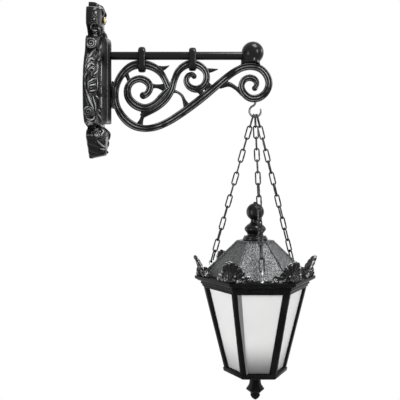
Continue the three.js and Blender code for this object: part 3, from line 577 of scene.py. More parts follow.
class Shader:
    """A material's nodes, added one at a time."""

    def __init__(self, name: str) -> None:
        """An empty material with the given name."""
        self.material = bpy.data.materials.new(name)
        self.material.use_nodes = True
        self.tree = self.material.node_tree
        self.tree.nodes.clear()
        self.place = self.node("TexCoord", {}, {}, output="Object")

    def node(self, kind: str, settings: dict, inputs: dict, output: object = 0) -> Wire:
        """Adds one node to the material and returns one of its outputs."""
        values = {}
        for key, value in inputs.items():
            values[key] = value.socket if isinstance(value, Wire) else value
        return Wire(self, node_in(self.tree, kind, settings, values, output))

    def noise(self, scale: float, detail: float = 2.0, stretch: Place = (1.0, 1.0, 1.0)) -> Wire:
        """Cloudy variation of about 1/scale metres, stretched along the axes if wanted."""
        where = self.place
        if stretch != (1.0, 1.0, 1.0):
            where = self.node("Mapping", {}, {"Vector": self.place, "Scale": stretch})
        return self.node("TexNoise", {}, {"Vector": where, "Scale": scale, "Detail": detail})

    def cells(self, scale: float, smoothness: float) -> Wire:
        """Distance to the nearest of points about 1/scale metres apart, blended softly."""
        inputs = {"Vector": self.place, "Scale": scale, "Smoothness": smoothness}
        return self.node("TexVoronoi", {"feature": "SMOOTH_F1"}, inputs)

    def height(self) -> Wire:
        """Height above the wall plate's middle in metres."""
        return self.node("SeparateXYZ", {}, {"Vector": self.place}, output="Z")

    def ridges(self) -> Wire:
        """0.5 on plain surfaces, more on ridges and less in hollows."""
        return self.node("NewGeometry", {}, {}, output="Pointiness")

    def bump(self, height: Wire, depth: float, under: Wire | None = None) -> Wire:
        """Relief of depth millimetres, over another relief if one is given."""
        inputs = {"Height": height, "Distance": depth * MM, "Strength": 1.0}
        if under is not None:
            inputs["Normal"] = under
        return self.node("Bump", {}, inputs)

    def finish(self, colour: Wire, rough: Wire, relief: Wire, others: dict) -> Finish:
        """Ends the material with its surface and returns it."""
        inputs = {"Base Color": colour, "Roughness": rough, "Normal": relief, **others}
        return self.ended(self.node("BsdfPrincipled", {}, inputs))

    def ended(self, surface: Wire) -> Finish:
        """Links a surface to the material's output and returns the material."""
        node_in(self.tree, "OutputMaterial", {}, {"Surface": surface.socket})
        return self.material


@dataclass(frozen=True)
class CastPaint:
    """Glossy black enamel on cast metal: a pitted skin, dust in the hollows, and pale paint on the ridges
    that is a painted highlight.
    """

    name: str
    colour: Colour = (0.006, 0.0061, 0.0064)
    dust: Colour = (0.012, 0.0116, 0.011)
    painted_highlight: Colour = (0.5, 0.505, 0.51)
    gloss: float = 0.16
    pits: float = 0.02
    waves: float = 0.1
    shine: float = 0.16
    edge: Pair = (0.511, 0.543)
    highlight_amount: float = 0.85
    patches: float = 28.0
    patchy: Pair = (0.36, 0.6)

    def material(self) -> Finish:
        """Builds the enamel."""
        s = Shader(self.name)
        cloud = s.noise(self.patches, 3.0)
        grain = s.noise(700.0, 2.0)
        wave = s.noise(85.0, 1.5)
        ridges = s.ridges()
        hollow = 1.0 - ridges.between(0.44, 0.5)
        ridge = ridges.between(*self.edge)
        dusty = hollow * cloud.between(0.35, 0.7)
        # Painted highlight: pale colour on ridges found by pointiness, in patches.
        painted_highlight = ridge * cloud.between(*self.patchy)
        painted = dusty.blend(self.colour, self.dust)
        inputs = {0: painted_highlight * self.highlight_amount, 6: painted, 7: (*self.painted_highlight, 1.0)}
        base = s.node("Mix", {"data_type": "RGBA"}, inputs, output=2)
        rough = self.gloss + cloud.between(0.3, 0.75) * 0.10 + dusty * 0.2
        rough = rough + grain.between(0.45, 0.8) * 0.05
        relief = s.bump(grain, self.pits, s.bump(wave, self.waves))
        return s.finish(base, rough, relief, {"Specular IOR Level": self.shine})


@dataclass(frozen=True)
class SheetPaint:
    """Smoother black enamel on the lantern's rolled and machined parts."""

    name: str
    colour: Colour = (0.0055, 0.0056, 0.0059)
    # The second colour is random wear on the black enamel; on the window splay both colours are painted
    # light.
    wear_and_painted_light: Colour = (0.012, 0.012, 0.0125)
    gloss: float = 0.22
    shine: float = 0.04

    def material(self) -> Finish:
        """Builds the enamel."""
        s = Shader(self.name)
        cloud = s.noise(22.0, 4.0)
        peel = s.noise(420.0, 1.5)
        runs = s.noise(60.0, 2.0, (1.0, 1.0, 0.25))
        base = cloud.between(0.45, 0.8).blend(self.colour, self.wear_and_painted_light)
        rough = self.gloss + runs.between(0.35, 0.8) * 0.12
        relief = s.bump(peel, 0.04, s.bump(runs, 0.12))
        return s.finish(base, rough, relief, {"Specular IOR Level": self.shine})


@dataclass(frozen=True)
class HammeredPaint:
    """Grey-black enamel with metal flake that dried in small dimples over the roof's sheets."""

    name: str
    low: Colour = (0.028, 0.029, 0.03)
    high: Colour = (0.145, 0.147, 0.15)
    dimple: float = 250.0
    flake: float = 0.6

    def material(self) -> Finish:
        """Builds the dimpled enamel."""
        s = Shader(self.name)
        dimples = s.cells(self.dimple, 0.35)
        speckle = s.noise(330.0, 3.0)
        puddle = s.noise(105.0, 2.0)
        cloud = s.noise(18.0, 2.0)
        tops = dimples.between(0.15, 0.75) * 0.7 + speckle.between(0.4, 0.7) * 0.3
        base = tops.blend(self.high, self.low)
        rough = 0.30 + tops * 0.14 + cloud.between(0.3, 0.7) * 0.06
        relief = s.bump(speckle, 0.3, s.bump(dimples, 0.8, s.bump(puddle, 0.75)))
        return s.finish(base, rough, relief, {"Metallic": self.flake, "Specular IOR Level": 0.3})


@dataclass(frozen=True)
class BareMetal:
    """Plated or bare metal with fine scratches, tarnish and a little dirt."""

    name: str
    bright: Colour
    dull: Colour
    rough: float
    scratch: float

    def material(self) -> Finish:
        """Builds the metal."""
        s = Shader(self.name)
        tarnish = s.noise(70.0, 4.0).between(0.38, 0.68)
        fine = s.noise(1500.0, 2.0, (1.0, 1.0, 0.15))
        rough = self.rough + tarnish * 0.18
        relief = s.bump(fine, self.scratch)
        return s.finish(tarnish.blend(self.bright, self.dull), rough, relief, {"Metallic": 1.0})


@dataclass(frozen=True)
class OpalGlassWithPaintedShade:
    """White flashed glass with painted shade that darkens its colour towards its foot, and a faint rolled
    wave.
    """

    name: str
    top: Colour = (0.93, 0.93, 0.925)
    # foot is the colour of the painted shade at the pane's foot.
    foot: Colour = (0.5, 0.5, 0.5)
    top_height: float = -655.0
    foot_height: float = -772.0

    def material(self) -> Finish:
        """Builds the glass."""
        s = Shader(self.name)
        wave = s.noise(14.0, 2.0)
        seed = s.noise(160.0, 2.0)
        # Painted shade: the colour falls from the top colour to the foot colour by height.
        depth = 1.0 - s.height().between(self.foot_height * MM, self.top_height * MM)
        share = (1.0 - depth * depth) * 0.96 + wave.between(0.3, 0.7) * 0.04
        rough = 0.34 + seed.between(0.4, 0.7) * 0.06
        relief = s.bump(seed, 0.008, s.bump(wave, 0.15))
        return s.finish(share.blend(self.foot, self.top), rough, relief, {"Specular IOR Level": 0.35})


@dataclass(frozen=True)
class PaleBody:
    """Moulded plastic or frosted glass: a pale colour with slight yellowing and dust."""

    name: str
    colour: Colour
    aged: Colour
    rough: float

    def material(self) -> Finish:
        """Builds the pale surface."""
        s = Shader(self.name)
        age = s.noise(35.0, 3.0).between(0.4, 0.75)
        skin = s.noise(700.0, 2.0)
        rough = self.rough + age * 0.12
        return s.finish(age.blend(self.colour, self.aged), rough, s.bump(skin, 0.05), {})


class Finishes:
    """Every finish on the lantern, made once."""

    def __init__(self) -> None:
        """Builds the materials."""
        # bright is the pale ridge colour of the lantern castings, a painted highlight.
        bright = (0.9, 0.9, 0.91)
        painted_highlight = {"painted_highlight": bright, "edge": (0.512, 0.536), "patches": 85.0, "patchy": (0.45, 0.57)}
        smooth = {"gloss": 0.14, "edge": (0.585, 0.68), "highlight_amount": 0.5}
        # Pale greys for the window splay: painted light, not wear.
        wear_and_painted_light = ((0.24, 0.24, 0.245), (0.31, 0.31, 0.315))
        self.iron = CastPaint("cast_iron_enamel").material()
        self.casting = CastPaint("lantern_casting_enamel", **painted_highlight).material()
        self.turned = CastPaint("turned_iron_enamel", **smooth).material()
        self.reveal = SheetPaint("painted_light_splay_enamel", *wear_and_painted_light).material()
        self.sheet = SheetPaint("lantern_enamel").material()
        self.hammered = HammeredPaint("hammered_enamel").material()
        self.gilt = self.metal("gilding", (0.52, 0.44, 0.28), (0.15, 0.10, 0.045), 0.36, 0.05)
        self.chain = self.metal("chain_wire", (0.055, 0.055, 0.057), (0.02, 0.02, 0.021), 0.34)
        self.hook = self.metal("hook_wire", (0.15, 0.15, 0.155), (0.06, 0.06, 0.062), 0.34)
        self.zinc = self.metal("zinc_plating", (0.58, 0.59, 0.6), (0.3, 0.3, 0.3), 0.3)
        self.brass = self.metal("brass", (0.78, 0.58, 0.28), (0.42, 0.28, 0.12), 0.28)
        self.opal = OpalGlassWithPaintedShade("opal_glass").material()
        # The front pane gets a darker painted shade at its foot.
        self.front_opal_painted_shade = OpalGlassWithPaintedShade("front_opal_glass", foot=(0.15, 0.15, 0.15)).material()
        self.bulb = self.pale("frosted_bulb", (0.88, 0.87, 0.83), (0.8, 0.78, 0.72), 0.32)
        self.holder = self.pale("lampholder_body", (0.76, 0.74, 0.69), (0.66, 0.62, 0.54), 0.36)

    def pale(self, name: str, colour: Colour, aged: Colour, rough: float) -> Finish:
        """Pale plastic or glass."""
        return PaleBody(name, colour, aged, rough).material()

    def metal(
        self, name: str, bright: Colour, dull: Colour, rough: float, scratch: float = 0.02
    ) -> Finish:
        """A bare or plated metal."""
        return BareMetal(name, bright, dull, rough, scratch).material()


@dataclass
class Studio:
    """Camera, lamps, white surroundings and the pale floor."""

    camera_place: Place = (245.0, -1539.0, -297.0)
    lens: float = 51.3
    shift: Pair = (0.04825, -0.025)
    floor_height: float = -1300.0
    floor_centre: Pair = (300.0, -200.0)
    floor_rings: tuple[float, ...] = (10.0, 300.0, 700.0, 1100.0, 1500.0)
    floor_oval: float = 0.47
    floor_thickness: float = 8.0
    fade_offset: Place = (-0.3, 0.4255, 1.3)
    fade_scale: Place = (1.0, 2.128, 1.0)
    fade: Pair = (0.7, 1.4)
    ambient: float = 0.2
    white_to: tuple[str, str, str] = ("Is Camera Ray", "Is Transmission Ray", "Is Glossy Ray")
    lamps: tuple[tuple[str, Place, Place, Pair, float], ...] = (
        ("key", (1.85, -1.55, 0.35), (0.42, 0.0, -0.2), (0.36, 0.8), 27.0),
        ("fill", (-1.3, -1.25, -0.55), (0.42, 0.0, -0.35), (0.6, 1.3), 18.5),
        ("edge", (1.75, 0.3, 0.45), (0.1, 0.0, 0.05), (0.3, 0.5), 5.0),
        ("overhead", (0.7, -0.4, 0.95), (0.446, -0.08, -0.48), (0.5, 0.6), 16.0),
        ("side", (-1.1, 0.8, -0.5), (0.446, 0.0, -0.54), (1.0, 1.2), 8.0),
    )

    def camera(self) -> None:
        """The photograph's camera, level and square to the bracket."""
        data = bpy.data.cameras.new("camera")
        data.sensor_width = 36.0
        data.lens = self.lens
        data.shift_x, data.shift_y = self.shift
        data.clip_start = 0.05
        made = stand("camera", data)
        made.location = [value * MM for value in self.camera_place]
        made.rotation_euler = (math.pi / 2, 0.0, 0.0)
        bpy.context.scene.camera = made

    def lamp(self, name: str, place: Place, target: Place, size: Pair, watts: float) -> None:
        """A rectangular soft lamp, its place and target in metres."""
        data = bpy.data.lights.new(name, "AREA")
        data.shape = "RECTANGLE"
        data.size, data.size_y = size
        data.energy = watts
        made = stand(name, data)
        made.location = place
        aim = np.asarray(target) - np.asarray(place)
        yaw = math.atan2(-aim[0], aim[1])
        pitch = math.atan2(math.hypot(aim[0], aim[1]), -aim[2])
        made.rotation_euler = (pitch, 0.0, yaw)

    def world(self) -> None:
        """White to the eye and to gloss, softer as light."""
        world = bpy.data.worlds.new("surroundings")
        bpy.context.scene.world = world
        world.use_nodes = True
        tree = world.node_tree
        tree.nodes.clear()
        seen = [node_in(tree, "LightPath", {}, {}, output=name) for name in self.white_to]
        shown = node_in(tree, "Math", {"operation": "MAXIMUM"}, {0: seen[0], 1: seen[1]})
        shown = node_in(tree, "Math", {"operation": "MAXIMUM"}, {0: shown, 1: seen[2]})
        colour = {"Color": (1.0, 1.0, 1.0, 1.0)}
        light = node_in(tree, "Background", {}, {**colour, "Strength": self.ambient})
        white = node_in(tree, "Background", {}, {**colour, "Strength": 1.0})
        choice = node_in(tree, "MixShader", {}, {0: shown, 1: light, 2: white})
        node_in(tree, "OutputWorld", {}, {"Surface": choice})

    def floor(self) -> None:
        """A pale floor that takes the shadow and fades into the white round it."""
        rings = []
        for radius in self.floor_rings:
            circle = np.array(arc((0.0, 0.0), radius, 0.0, 352.5, 47)) * np.array([1.0, self.floor_oval])
            circle = circle + np.array(self.floor_centre)
            rings.append(level(circle, self.floor_height))
        grid = np.array(rings)
        closed = np.concatenate([grid, grid[:, :1]], axis=1)
        made = Form.slab(closed, closed - np.array([0.0, 0.0, self.floor_thickness])).build("floor")
        s = Shader("pale_floor")
        place = {"Vector": s.place, "Location": self.fade_offset, "Scale": self.fade_scale}
        near = s.node("Mapping", {}, place)
        distance = s.node("VectorMath", {"operation": "LENGTH"}, {0: near}, output="Value")
        matt = s.node("BsdfDiffuse", {}, {"Color": (0.8, 0.8, 0.8, 1.0)})
        path = s.node("LightPath", {}, {}, output="Is Camera Ray")
        glow = s.node("Emission", {}, {"Color": (1.0, 1.0, 1.0, 1.0), "Strength": 1.0})
        edge = distance.between(*self.fade)
        made.data.materials.append(s.ended(s.node("MixShader", {}, {0: path * edge, 1: matt, 2: glow})))

    def build(self) -> None:
        """Sets up the whole studio."""
        bpy.context.scene.view_settings.view_transform = "Standard"
        self.camera()
        self.world()
        self.floor()
        for lamp in self.lamps:
            self.lamp(*lamp)
        logging.info("studio: camera, five lamps and floor")


@dataclass(frozen=True)
class Stroke:
    """A raised line on the wall plate, mirrored on both sides.

    Each point is a share of the way from the front's middle to the wall, and a height.
    """

    points: Outline
    width: float = 4.4
    rise: float = 4.4
    taper: float = 0.35
    slimming: float = 0.72


PLATE_ORNAMENT = {
    "crest_ridge": Stroke(((0.24, 196), (0.27, 180), (0.11, 170)), 5.0),
    "crest_bead_a": Stroke(((0.45, 194), (0.57, 176)), 6.0),
    "crest_bead_b": Stroke(((0.72, 166), (0.72, 158)), 6.0),
    "crest_bead_c": Stroke(((0.76, 148), (0.78, 142)), 5.0),
    "crest_curl": Stroke(
        ((0.66, 122), (0.74, 122), (0.8, 124), (0.85, 130), (0.81, 134), (0.75, 134), (0.74, 128),
         (0.79, 128)), 4.0
    ),
    "petal_a": Stroke(((0.62, 128), (0.52, 114)), 6.0),
    "petal_b": Stroke(((0.37, 136), (0.43, 122)), 6.0),
    "petal_c": Stroke(((0.68, 118), (0.76, 102)), 6.0),
    "shell_lump": Stroke(((0.28, 124), (0.22, 112)), 7.0),
    "volute_up": Stroke(
        ((0.97, 86), (0.86, 92), (0.77, 86), (0.74, 76), (0.81, 68), (0.91, 70), (0.94, 78), (0.87, 82),
         (0.84, 78)), 4.6
    ),
    "leaf_a": Stroke(((0.67, 90), (0.74, 68), (0.83, 52), (0.9, 38)), 6.0),
    "leaf_b": Stroke(((0.28, 90), (0.56, 66), (0.72, 44)), 6.0),
    "leaf_c": Stroke(((0.42, 68), (0.45, 52), (0.54, 38)), 6.0),
    "lobe_a": Stroke(((0.91, 22), (0.86, 34), (0.77, 34)), 5.5),
    "lobe_b": Stroke(((0.92, 6), (0.86, 20), (0.75, 20)), 5.5),
    "lobe_c": Stroke(((0.91, -8), (0.86, 8), (0.76, 8)), 5.5),
    "s_leaf": Stroke(((0.6, 28), (0.62, 10), (0.77, -6)), 6.0),
    "c_scroll": Stroke(
        ((0.73, 12), (0.85, 6), (0.92, -4), (0.96, -16), (0.96, -30), (0.94, -44), (0.91, -58),
         (0.87, -74), (0.82, -88), (0.79, -98), (0.84, -108), (0.91, -112), (0.96, -106), (0.96, -98),
         (0.91, -94), (0.87, -98), (0.9, -104)), 5.2
    ),
    "bar_a": Stroke(((0.9, -28), (0.82, -20), (0.66, -12)), 5.0),
    "bar_b": Stroke(((0.91, -38), (0.83, -34), (0.68, -28)), 5.0),
    "bar_c": Stroke(((0.9, -52), (0.82, -48), (0.64, -42)), 5.0),
    "bar_side": Stroke(((0.62, -10), (0.62, -44)), 4.0),
    "bar_left": Stroke(((0.9, -28), (0.9, -50)), 4.0),
    "lance": Stroke(((0.8, -60), (0.78, -70), (0.72, -84), (0.7, -96)), 5.0),
    "lance_b": Stroke(((0.67, -58), (0.55, -62)), 5.0),
    "edge": Stroke(((0.3, 50), (0.25, -42)), 3.6, 4.0, 0.9),
    "edge_low": Stroke(((0.23, -52), (0.23, -80)), 3.6, 4.0, 0.9),
    "edge_leaf": Stroke(((0.52, -90), (0.34, -94)), 5.0),
    "edge_leaf_b": Stroke(((0.57, -102), (0.18, -112)), 5.5),
    "gad_a": Stroke(((0.95, -113), (0.85, -118), (0.74, -110)), 4.4, 5.4),
    "gad_b": Stroke(((0.92, -121), (0.8, -126), (0.68, -117)), 4.4, 5.4),
    "under": Stroke(((0.88, -130), (0.74, -136), (0.68, -142)), 4.4),
    "tail_curl": Stroke(
        ((0.68, -150), (0.71, -156), (0.77, -154), (0.79, -148), (0.74, -142), (0.7, -146)), 4.4
    ),
    "tail_arc": Stroke(((0.5, -136), (0.54, -146), (0.61, -156)), 4.4),
    "tail_contour": Stroke(((0.23, -130), (0.23, -144), (0.35, -160)), 4.4),
    "tail_line": Stroke(((0.71, -166), (0.57, -176), (0.34, -184)), 4.4),
    "tail_front": Stroke(((0.37, -162), (0.36, -180)), 5.0),
    "tail_low": Stroke(((0.56, -186), (0.31, -190)), 4.4),
    "tail_dot": Stroke(((0.25, -192), (0.2, -196)), 6.0),
}


@dataclass
class WallPlate:
    """The relief casting against the wall, hollow behind, with rolled ears and a gilt rosette.

    The outline's rows are height, half-width and depth. The seat is its depth, half-width, foot and
    top. Each ear is its height, reach, middle's depth and radius, each hollow its top and foot, and
    each fixing its place across and up.
    """

    outline: Band = (
        (204, 22, 20), (197, 25, 34), (184, 26, 40), (181, 60, 39), (170, 66, 36), (150, 69, 35.4),
        (134, 66, 36), (126, 50, 42), (112, 34, 42), (104, 62, 33), (92, 74, 33), (64, 80, 33),
        (40, 96, 33), (12, 112, 33), (-30, 117, 33), (-84, 116, 33), (-112, 107, 33), (-127, 93, 33.4),
        (-132, 34, 42), (-143, 62, 50), (-155, 68, 48), (-172, 54, 46), (-190, 34, 45.6),
        (-204, 20, 45), (-208, 15, 24), (-212, 9, 5),
    )
    squareness: float = 3.4
    wall: float = 7.0
    rib_half_width: float = 24.0
    seat: tuple[float, float, float, float] = (31.9, 16.5, -121.5, 113.5)
    ears: tuple[tuple[float, float, float, float], ...] = ((77, 93, 17, 13), (-101, 119, 14, 13))
    hollows: Outline = ((104, -112), (170, 134))
    fixings: Outline = ((62, 66), (62, -78))
    fixing_radius: float = 4.5
    boss_radius: float = 12.0
    boss_ends: Pair = (0.2, 26.0)
    screw_head: Pair = (8.4, 9.4)
    rosette_height: float = 159.0
    rosette_front: float = 36.6
    rosette_pin_hole: float = 3.3
    row_step: float = 0.9
    columns: int = 300
    flute_pitch: float = 13.5
    flute_depth: float = 2.2
    groove: float = 1.4
    stroke_span: float = 90.0
    unraised: float = -9.0
    facing_wall: float = -0.95

    def size_at(self, heights: Points) -> tuple[Points, Points]:
        """Half-width and depth of the plate at heights, its steps softened as in a casting."""
        table = np.array(self.outline, float)[::-1]
        window = np.array([-1.6, -0.8, 0.0, 0.8, 1.6])
        near = np.clip(heights[:, None] + window, table[0, 0], table[-1, 0])
        half_width = np.interp(near, table[:, 0], table[:, 1]).mean(1)
        return half_width, np.interp(near, table[:, 0], table[:, 2]).mean(1)

    def section(self, half_width: float, depth: float, count: int) -> tuple[Points, float]:
        """A row of evenly spaced points round the front at one height, and its half length."""
        angles = np.linspace(0.0, math.pi, 361)
        y = -np.sign(np.cos(angles)) * np.abs(np.cos(angles)) ** (2 / self.squareness) * half_width
        x = np.sin(angles) ** (2 / self.squareness) * depth
        run = np.concatenate([[0.0], np.cumsum(np.hypot(np.diff(x), np.diff(y)))])
        even = np.linspace(0.0, run[-1], count + 1)
        return np.column_stack([np.interp(even, run, x), np.interp(even, run, y)]), run[-1] / 2

    def relief(self, share: Points, heights: Points, reach: Points) -> Points:
        """How far each point of the front stands out.

        Args:
            share: each column's share of the way from the middle to the wall.
            heights: each row's height.
            reach: each row's half length round the front.

        Returns:
            Millimetres for each row and column.
        """
        across = share[None, :] * reach[:, None]
        up = np.broadcast_to(heights[:, None], across.shape)
        raised = np.full_like(across, self.unraised)
        dip = np.zeros_like(across)
        for stroke in PLATE_ORNAMENT.values():
            scaled = np.array(stroke.points, float) * np.array([self.stroke_span, 1.0])
            line = curve_through(scaled, 1.0)
            line_reach = np.interp(line[:, 1], heights[::-1], reach[::-1])
            line_across = line[:, 0] / self.stroke_span * line_reach
            t = np.linspace(0.0, 1.0, len(line))
            body = stroke.taper + (1 - stroke.taper) * np.sin(math.pi * t) ** 0.6
            half = stroke.width * stroke.slimming * body
            margin = stroke.width + 4.0
            box = (across > line_across.min() - margin) & (across < line_across.max() + margin)
            box &= (up > line[:, 1].min() - margin) & (up < line[:, 1].max() + margin)
            gap = np.hypot(across[box][:, None] - line_across, up[box][:, None] - line[:, 1])
            part = gap / half
            nearest = part.argmin(1)
            q = part[np.arange(len(nearest)), nearest]
            crown = np.maximum(0.0, 1 - q * q) ** 0.8
            lift = (stroke.rise * body[nearest] + self.groove) * crown - self.groove
            raised[box] = np.maximum(raised[box], np.where(q < 1, lift, self.unraised))
            dip[box] = np.maximum(dip[box], self.groove * (1 - ease(1.0, 2.0, q)))
        flank = ease(0.5, 0.62, share)[None, :] * (ease(-208, -200, up) * (1 - ease(-156, -150, up)))
        waves = np.abs(np.cos(math.pi * (up - 0.25 * across + 150) / self.flute_pitch))
        plain = self.flute_depth * flank * waves - dip
        return np.where(raised > self.unraised + 1.0, np.maximum(raised, plain), plain)

    def front(self) -> Form:
        """The solid outer form with all its ornament."""
        top, foot = self.outline[0][0], self.outline[-1][0]
        heights = np.linspace(top, foot, round((top - foot) / self.row_step) + 1)
        widths, depths = self.size_at(heights)
        rows = [self.section(w, d, self.columns) for w, d in zip(widths, depths)]
        reach = np.array([half for _, half in rows])
        grid = np.stack([level(row, z) for (row, _), z in zip(rows, heights)])
        share = np.abs(np.linspace(-1.0, 1.0, self.columns + 1))
        rise = self.relief(share, heights, reach)
        rise *= (1 - ease(0.975, 0.998, share))[None, :]
        rise *= (ease(0.0, 6.0, top - heights) * ease(0.0, 6.0, heights - foot))[:, None]
        out = unit(np.cross(np.gradient(grid, axis=1), np.gradient(grid, axis=0)))
        outward = np.sign(out[..., 0] + out[..., 1] * grid[..., 1] * 0.05)
        grid = grid + out * np.where(outward == 0, 1, outward)[..., None] * rise[..., None]
        depth, half, low, high = self.seat
        seated = (np.abs(grid[..., 1]) < half) & (grid[..., 2] > low) & (grid[..., 2] < high)
        grid[..., 0] = np.where(seated, np.minimum(grid[..., 0], depth), np.maximum(grid[..., 0], 0.0))
        return Form.skin(grid)

    def hollow(self, high: float, low: float) -> Form:
        """The space behind the front between two heights."""
        heights = np.linspace(high, low, max(4, round((high - low) / 5)))
        widths, depths = self.size_at(heights)
        rings = []
        for w, d, z in zip(widths, depths, heights):
            row, _ = self.section(w - self.wall, d - self.wall, 40)
            row[0, 0] = row[-1, 0] = -5.0
            rings.append(level(row, z))
        return Form.skin(np.array(rings))

    def ear(self, height: float, reach: float, forward: float, radius: float) -> Form:
        """A rolled ear: a drum along Y whose end shows its spiral."""
        rim = [(radius, 32.2), (radius - 2.5, 32.2), (radius - 3.4, 30.6), (0, 30.6)]
        profile = rounded([(0, 0), (radius, 0)] + rim, 1.2)
        drum = Form.turned(profile, 48, (forward, reach - 34.0, height), (0, 1, 0))
        turns = np.linspace(0.0, 1.7, 60)
        radii = (radius - 1.4) * (1 - turns / 1.95)
        angles = 2 * math.pi * turns + math.pi / 2
        x = forward + radii * np.cos(angles)
        path = np.column_stack([x, np.full(60, reach - 2.4), height + radii * np.sin(angles)])
        return drum + Form.wire(path, np.linspace(2.3, 1.7, 60), (0, 1, 0), 10)

    def build(self, finishes: Finishes) -> None:
        """Makes the plate and its rosette."""
        made = self.front().build("plate_casting")
        rib = Form.block((-10, -self.rib_half_width, -230), (80, self.rib_half_width, 230))
        for high, low in self.hollows:
            space = work(self.hollow(high, low).build("space"), rib, Cut.TAKE)
            work(made, melt(space), Cut.TAKE)
        for side in (1, -1):
            for size in self.ears:
                ear = self.ear(*size)
                work(made, cast_form(ear if side > 0 else ear.mirrored(), 0.9, 1), Cut.ADD)
            for y, z in self.fixings:
                back, front = [(x, side * y, z) for x in self.boss_ends]
                work(made, Form.rod(back, front, self.boss_radius, 32), Cut.ADD)
                drill(made, (-1, side * y, z), (SCREW_REACH, side * y, z), self.fixing_radius, 24)
        for z in SPINE_SCREWS:
            sink(made, (0, 0, z), self.screw_head, (-1, SCREW_REACH))
        pin = self.rosette_height
        drill(made, (20, 0, pin), (60, 0, pin), self.rosette_pin_hole, 24, 40.0)
        plate = mount(made, finishes.iron, Body.BRACKET, Slot.IRON, "wall_plate")
        plate.data.materials.append(finishes.turned)
        for face in plate.data.polygons:
            face.material_index = int(face.normal.x < self.facing_wall)
        self.rosette(finishes)

    def rosette(self, finishes: Finishes) -> None:
        """The small gilt flower on the crest: eight cupped petals round a button."""
        front, z = self.rosette_front, self.rosette_height
        dish = [(0, 0), (8.6, 0), (9.2, 2.6), (0, 3.6)]
        button = [(0, 0), (5.2, 0), (5.6, 2.6), (4.4, 5.0), (2.4, 6.0), (0, 6.2)]
        forms = [Form.rod((22, 0, z), (front + 3.4, 0, z), 3.0, 20)]
        forms.append(Form.turned(rounded(dish, 0.8), 40, (front, 0, z), ALONG_X))
        forms.append(Form.turned(rounded(button, 1.0), 32, (front + 2, 0, z), ALONG_X))
        for k in range(8):
            a = math.radians(45 * k + 22.5)
            for offset, lift in ((-0.16, 0.0), (0.16, 0.0), (0.0, 0.9)):
                y, up = 7.7 * math.cos(a + offset), 7.7 * math.sin(a + offset)
                forms.append(Form.ball((front + 2.2 + lift, y, z + up), (2.4, 2.7, 2.7), 16))
        made = cast(total(forms).build("rosette_flower"), 0.45, 2)
        mount(made, finishes.gilt, Body.BRACKET, Slot.GILT, "gilt_rosette")


